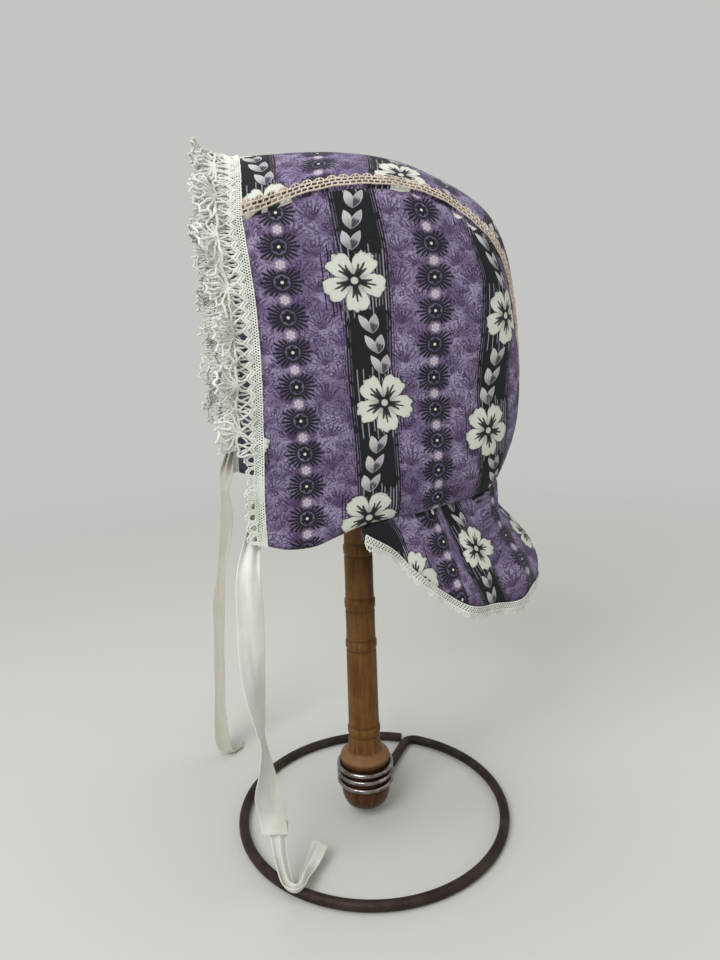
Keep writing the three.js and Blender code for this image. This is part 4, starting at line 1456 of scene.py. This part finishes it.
def makeRibbon(key, name, nodeName, seed, finish):
    plan = ribbonPlan
    rows = plan[key]
    rowSteps = plan["rowSteps"]
    up = (len(rows) - 1) * rowSteps
    line = [Vector(readRows(rows, k / rowSteps)[:3]) for k in range(up + 1)]
    sums = lengthsAlong(line)
    count, deep = plan["pleats"]

    def onRibbon(u, v):
        k = round(v * up)
        height, bearing, spread = readRows(rows, k / rowSteps)[2:]
        turn = math.radians(bearing)
        width = Vector((math.cos(turn), math.sin(turn), 0))
        ahead = line[min(k + 1, up)] - line[max(k - 1, 0)]
        normal = ahead.cross(width).normalized()
        side = (u - 0.5) * plan["width"]
        pleats = (1 - min(spread, 1)) * deep * math.cos(u * 2 * math.pi * count + 0.6)
        creases = 0
        for n, (over, down, much) in enumerate(plan["creases"]):
            creases += noise.noise(Vector((side * over, sums[k] * down, seed + 4 * n))) * much
        loose = ease(sums[k], 4, 22) * (0.25 + 0.75 * ease(height, 4, 16))
        curl = 0.5 * (u - 0.5) ** 2 * 4 * math.sin(sums[k] * 0.045 + seed)
        point = line[k] + width * side * spread + normal * (pleats + (creases + curl) * loose)
        # frayed corners at the free end
        if v > 0.985:
            point += ahead.normalized() * noise.noise(Vector((u * 6, seed, 0))) * plan["fray"]
        return place(point.x, point.y, max(point.z, 0.5))

    def onPrint(u, v):
        return (u - 0.5) * plan["width"], sums[round(v * up)]

    mesh = clothGrid(name, plan["across"], up, onRibbon, onPrint)
    piece = newPiece(name, mesh, [nodeName], "ribbon", finish)
    giveWall(piece, plan["wall"]).offset = 0
    smoothOut(piece)
    return piece, sums[-1]


tieRibbonLeft, leftLength = makeRibbon("left", "tieRibbonLeft", "tie_ribbon_left", 2.0, whiteRibbon)
tieRibbonRight, rightLength = makeRibbon("right", "tieRibbonRight", "tie_ribbon_right", 9.0, darkerRibbon)
print("ribbons made", round(leftLength), round(rightLength))

# bobbin

bobbinPlan = {
    "steps": 96,
    # radius, height: out of the small hole in the end and round the butt
    "butt": [
        (0, 37.5), (3.4, 37.5), (3.4, 8.2), (5.3, 8.2), (5.4, 5.9), (5.7, 5.6), (9.2, 5.6), (9.9, 5.8),
        (11.3, 7.0), (12.4, 9.2), (13.1, 11.6), (13.4, 13.6), (13.4, 16.6), (13.2, 17.4), (12.7, 17.9),
        (12.7, 30.4), (13.1, 30.9), (13.6, 31.3), (13.8, 32.4), (13.6, 34.0), (13.1, 35.0),
        (12.3, 35.7), (10.8, 36.6), (9.6, 37.7), (8.95, 39.4),
    ],
    "barrel": ((40.0, 8.7), (330.0, 5.6)),  # height, radius
    "grooves": (47.0, 52.8, 97.0, 103.0, 119.4, 126.4, 149.4, 156.2, 205.0, 211.0),
    "groove": ((0, -1.2), (0.1, -0.6), (0.3, 0), (0.1, 0.6)),  # depth, height
    # share of the tip's radius, height
    "tip": ((1, 331), (1, 337.5), (0.94, 339.6), (0.72, 341.3), (0.4, 342.4), (0, 342.7)),
}


def barrelRadius(z):
    (low, wide), (high, slim) = bobbinPlan["barrel"]
    return mix(wide, slim, (z - low) / (high - low))


def turnedWood():
    material, tree, shader = startMaterial("turnedWood", 0.42, specular=0.1)
    source = tree.nodes.new("ShaderNodeTexCoord")
    parts = tree.nodes.new("ShaderNodeSeparateXYZ")
    tree.links.new(source.outputs["Object"], parts.inputs[0])
    height = Value(tree, parts.outputs[2])
    lengthwise = objectPlace(tree, (1, 1, 0.06))
    grain = noiseOf(tree, lengthwise, 420.0, 4.0, 0.65).soft(0.32, 0.68)
    paint = Paint(tree, grain, (0.085, 0.036, 0.0085), (0.150, 0.068, 0.018))
    flecks = noiseOf(tree, objectPlace(tree, (1, 1, 0.10)), 1500.0, 2.0, 0.6).soft(0.60, 0.70) * 0.55
    paint.lay(flecks, (0.030, 0.013, 0.004))
    wear = noiseOf(tree, objectPlace(tree), 60.0, 3.0, 0.6).soft(0.45, 0.75) * 0.5
    paint.lay(wear, (0.20, 0.098, 0.030))
    # painted shade: dark lines laid along the grooves
    for z in bobbinPlan["grooves"]:
        cut = (height * 1000).near(z, 1.0, 0.2) * 0.45
        paint.lay(cut, (0.030, 0.013, 0.004))
    # painted highlight: a paler band on the shoulder's upward slope, where the light falls
    pale = height.soft(0.0385, 0.0365) * height.soft(0.0325, 0.0345)
    paint.lay(pale * 0.6, (0.24, 0.135, 0.062))
    varnish = height.soft(0.0345, 0.0322)
    stain = blendColour(tree, grain, (0.045, 0.017, 0.007), (0.090, 0.038, 0.015))
    paint.lay(varnish, stain)
    paint.dry(shader)
    gloss = varnish * -0.14 + noiseOf(tree, lengthwise, 600.0, 2.0, 0.5) * 0.2 + 0.34
    tree.links.new(gloss.socket, shader.inputs["Roughness"])
    setLevels(shader, {"Coat Weight": 0.06, "Coat Roughness": 0.25})
    addBump(tree, shader, grain * 0.5 - flecks, 0.25, 0.0002)
    return material


def makeBobbin():
    plan = bobbinPlan
    outline = list(plan["butt"])
    grooves = list(plan["grooves"])
    for low, high in zip(grooves[::2], grooves[1::2]):
        for z in (low, high):
            radius = barrelRadius(z)
            outline += [(radius - deep, z + up) for deep, up in plan["groove"]]
            if z == low:
                bead = (low + high) / 2
                outline += [(radius + 0.28, z + 1.5), (radius + 0.38, bead), (radius + 0.28, high - 1.5)]
            else:
                outline += [(radius - 0.22, z + 2.2), (radius - 0.28, z + 9)]
    tip = barrelRadius(329)
    outline += [(tip * share, z) for share, z in plan["tip"]]
    mesh = spunMesh("bobbin", outline, plan["steps"], bobbinFoot)
    return newPiece("turnedBobbin", mesh, ["bobbin"], "bobbin_wood", turnedWood())


turnedBobbin = makeBobbin()

# steel rings let into the bobbin's butt

steelPlan = {"radius": 14.4, "section": 1.3, "heights": (19.8, 24.6, 28.9), "steps": 96, "around": 20}


def wornSteel():
    material, tree, shader, tarnish = mottled(
        "wornSteel", ((170.0, 4.0, 0.65), (0.35, 0.7)), ((0.36, 0.345, 0.33), (0.13, 0.105, 0.09)),
        ((520.0, 3.0, 0.6), (0.60, 0.72)), 0.6, (0.13, 0.075, 0.045), roughness=0.22, metallic=1.0,
    )
    tree.links.new((tarnish * 0.16 + 0.17).socket, shader.inputs["Roughness"])
    turned = noiseOf(tree, objectPlace(tree, (1, 1, 9)), 500.0, 2.0, 0.6)
    addBump(tree, shader, turned, 0.2, 0.0001)
    return material


steelFinish = wornSteel()


def makeSteelRing(number, height):
    plan = steelPlan
    outline = []
    for k in range(plan["around"] + 1):
        turn = 2 * math.pi * k / plan["around"]
        out, up = plan["section"] * math.cos(turn), plan["section"] * math.sin(turn)
        outline.append((plan["radius"] + out, height + up))
    mesh = spunMesh(f"steelRing{number}", outline, plan["steps"], bobbinFoot)
    newPiece(f"steelRing{number}", mesh, [f"bobbin_ring_{number}"], "bobbin_steel", steelFinish)


for ringNumber, ringHeight in enumerate(steelPlan["heights"], 1):
    makeSteelRing(ringNumber, ringHeight)

# base wire: round the ring, in along an arm, and up into the bobbin

wirePlan = {
    "diameter": 5.3, "radius": 72, "centre": (3.2, -3.9), "cut": 60.6, "arm": 57,
    "corner": 6, "post": 5, "top": 36, "steps": 150,
}


def bentCorner(corner, come, leave, radius, steps=10):
    centre = corner - come * radius + leave * radius
    points = []
    for k in range(steps + 1):
        turn = k / steps * math.pi / 2
        points.append(centre - leave * (radius * math.cos(turn)) + come * (radius * math.sin(turn)))
    return points


def browned():
    material, tree, shader, patches = mottled(
        "brownedWire", ((75.0, 4.0, 0.65), (0.3, 0.7)), ((0.018, 0.0125, 0.0105), (0.048, 0.032, 0.026)),
        ((420.0, 3.0, 0.6), (0.58, 0.7)), 0.5, (0.085, 0.048, 0.032), roughness=0.55, metallic=0.35,
    )
    grain = noiseOf(tree, objectPlace(tree), 1400.0, 3.0, 0.6)
    addBump(tree, shader, grain + patches * 0.6, 0.35, 0.0002)
    return material


def makeWire():
    plan = wirePlan
    level = plan["diameter"] / 2

    def onRing(degrees):
        turn = math.radians(degrees)
        x, y = plan["centre"]
        return Vector((x + plan["radius"] * math.cos(turn), y + plan["radius"] * math.sin(turn), level))

    sweep = 360 + plan["arm"] - plan["cut"] - math.degrees(plan["corner"] / plan["radius"])
    points = [onRing(plan["cut"] + sweep * k / plan["steps"]) for k in range(plan["steps"] + 1)]
    corner, middle = onRing(plan["arm"]), Vector((0, 0, level))
    inwards = (middle - corner).normalized()
    come = Vector((inwards.y, -inwards.x, 0))
    points += bentCorner(corner, come, inwards, plan["corner"])[1:]
    points += [corner.lerp(middle, share) for share in (0.25, 0.4, 0.55, 0.7, 0.82)]
    points += bentCorner(middle, inwards, Vector((0, 0, 1)), plan["post"])
    points += [Vector((0, 0, 22)), Vector((0, 0, plan["top"]))]
    start = points[0] + (points[0] - points[1]).normalized() * 0.5
    strand = [(place(*start), 0.82)] + [(place(*p), 1) for p in points]
    mesh = threadMesh("bentWire", [strand], plan["diameter"], 24)
    newPiece("bentWire", mesh, ["base_wire"], "base_wire", browned())


makeWire()
print("stand made")

# the ribbons' lengths in metres, worked out here and not used further

leftLength / 1000
rightLength / 1000

# floor, light and world

stagePlan = {
    "floor": (0.55, 0.555, 0.53),
    "backdrop": (0.555, 0.56, 0.535),
    "worldStrength": 1.0,
    "clear": (0.25, 1.1),
    # place in millimetres, size, watts
    "key": ((-620, -620, 900), 0.7, 9.0),
    "fill": ((700, -500, 500), 0.9, 1.0),
    "top": ((0, 150, 1100), 1.0, 3.5),
}


def makeStage():
    bm = bmesh.new()
    bmesh.ops.create_circle(bm, cap_ends=True, radius=4.0, segments=96)
    bmesh.ops.translate(bm, verts=bm.verts, vec=(0, 0, -0.0002))
    mesh = meshFrom(bm, "floor")
    floor = addObject("floor", mesh)
    material, tree, shader = startMaterial("paleFloor", 0.75)
    shader.inputs["Base Color"].default_value = (*stagePlan["floor"], 1)
    source = tree.nodes.new("ShaderNodeTexCoord")
    away = tree.nodes.new("ShaderNodeVectorMath")
    away.operation = "LENGTH"
    tree.links.new(source.outputs["Object"], away.inputs[0])
    clear = Value(tree, away.outputs["Value"]).soft(*stagePlan["clear"])
    nothing = tree.nodes.new("ShaderNodeBsdfTransparent")
    both = tree.nodes.new("ShaderNodeMixShader")
    tree.links.new(clear.socket, both.inputs[0])
    tree.links.new(shader.outputs[0], both.inputs[1])
    tree.links.new(nothing.outputs[0], both.inputs[2])
    tree.links.new(both.outputs[0], tree.nodes["Material Output"].inputs["Surface"])
    mesh.materials.append(material)


def makeLight(name, at, size, watts):
    data = bpy.data.lights.new(name, "AREA")
    data.shape = "DISK"
    data.size = size
    data.energy = watts
    light = addObject(name, data)
    light.location = place(*at)
    aim = place(0, 0, 180) - light.location
    light.rotation_euler = aim.to_track_quat("-Z", "Y").to_euler()


makeStage()
for lightName in ("key", "fill", "top"):
    makeLight(lightName, *stagePlan[lightName])
world = bpy.data.worlds.new("studio")
bpy.context.scene.world = world
world.use_nodes = True
world.node_tree.nodes["Background"].inputs["Color"].default_value = (*stagePlan["backdrop"], 1)
world.node_tree.nodes["Background"].inputs["Strength"].default_value = stagePlan["worldStrength"]
bpy.context.scene.view_settings.view_transform = "Standard"
print("stage lit")
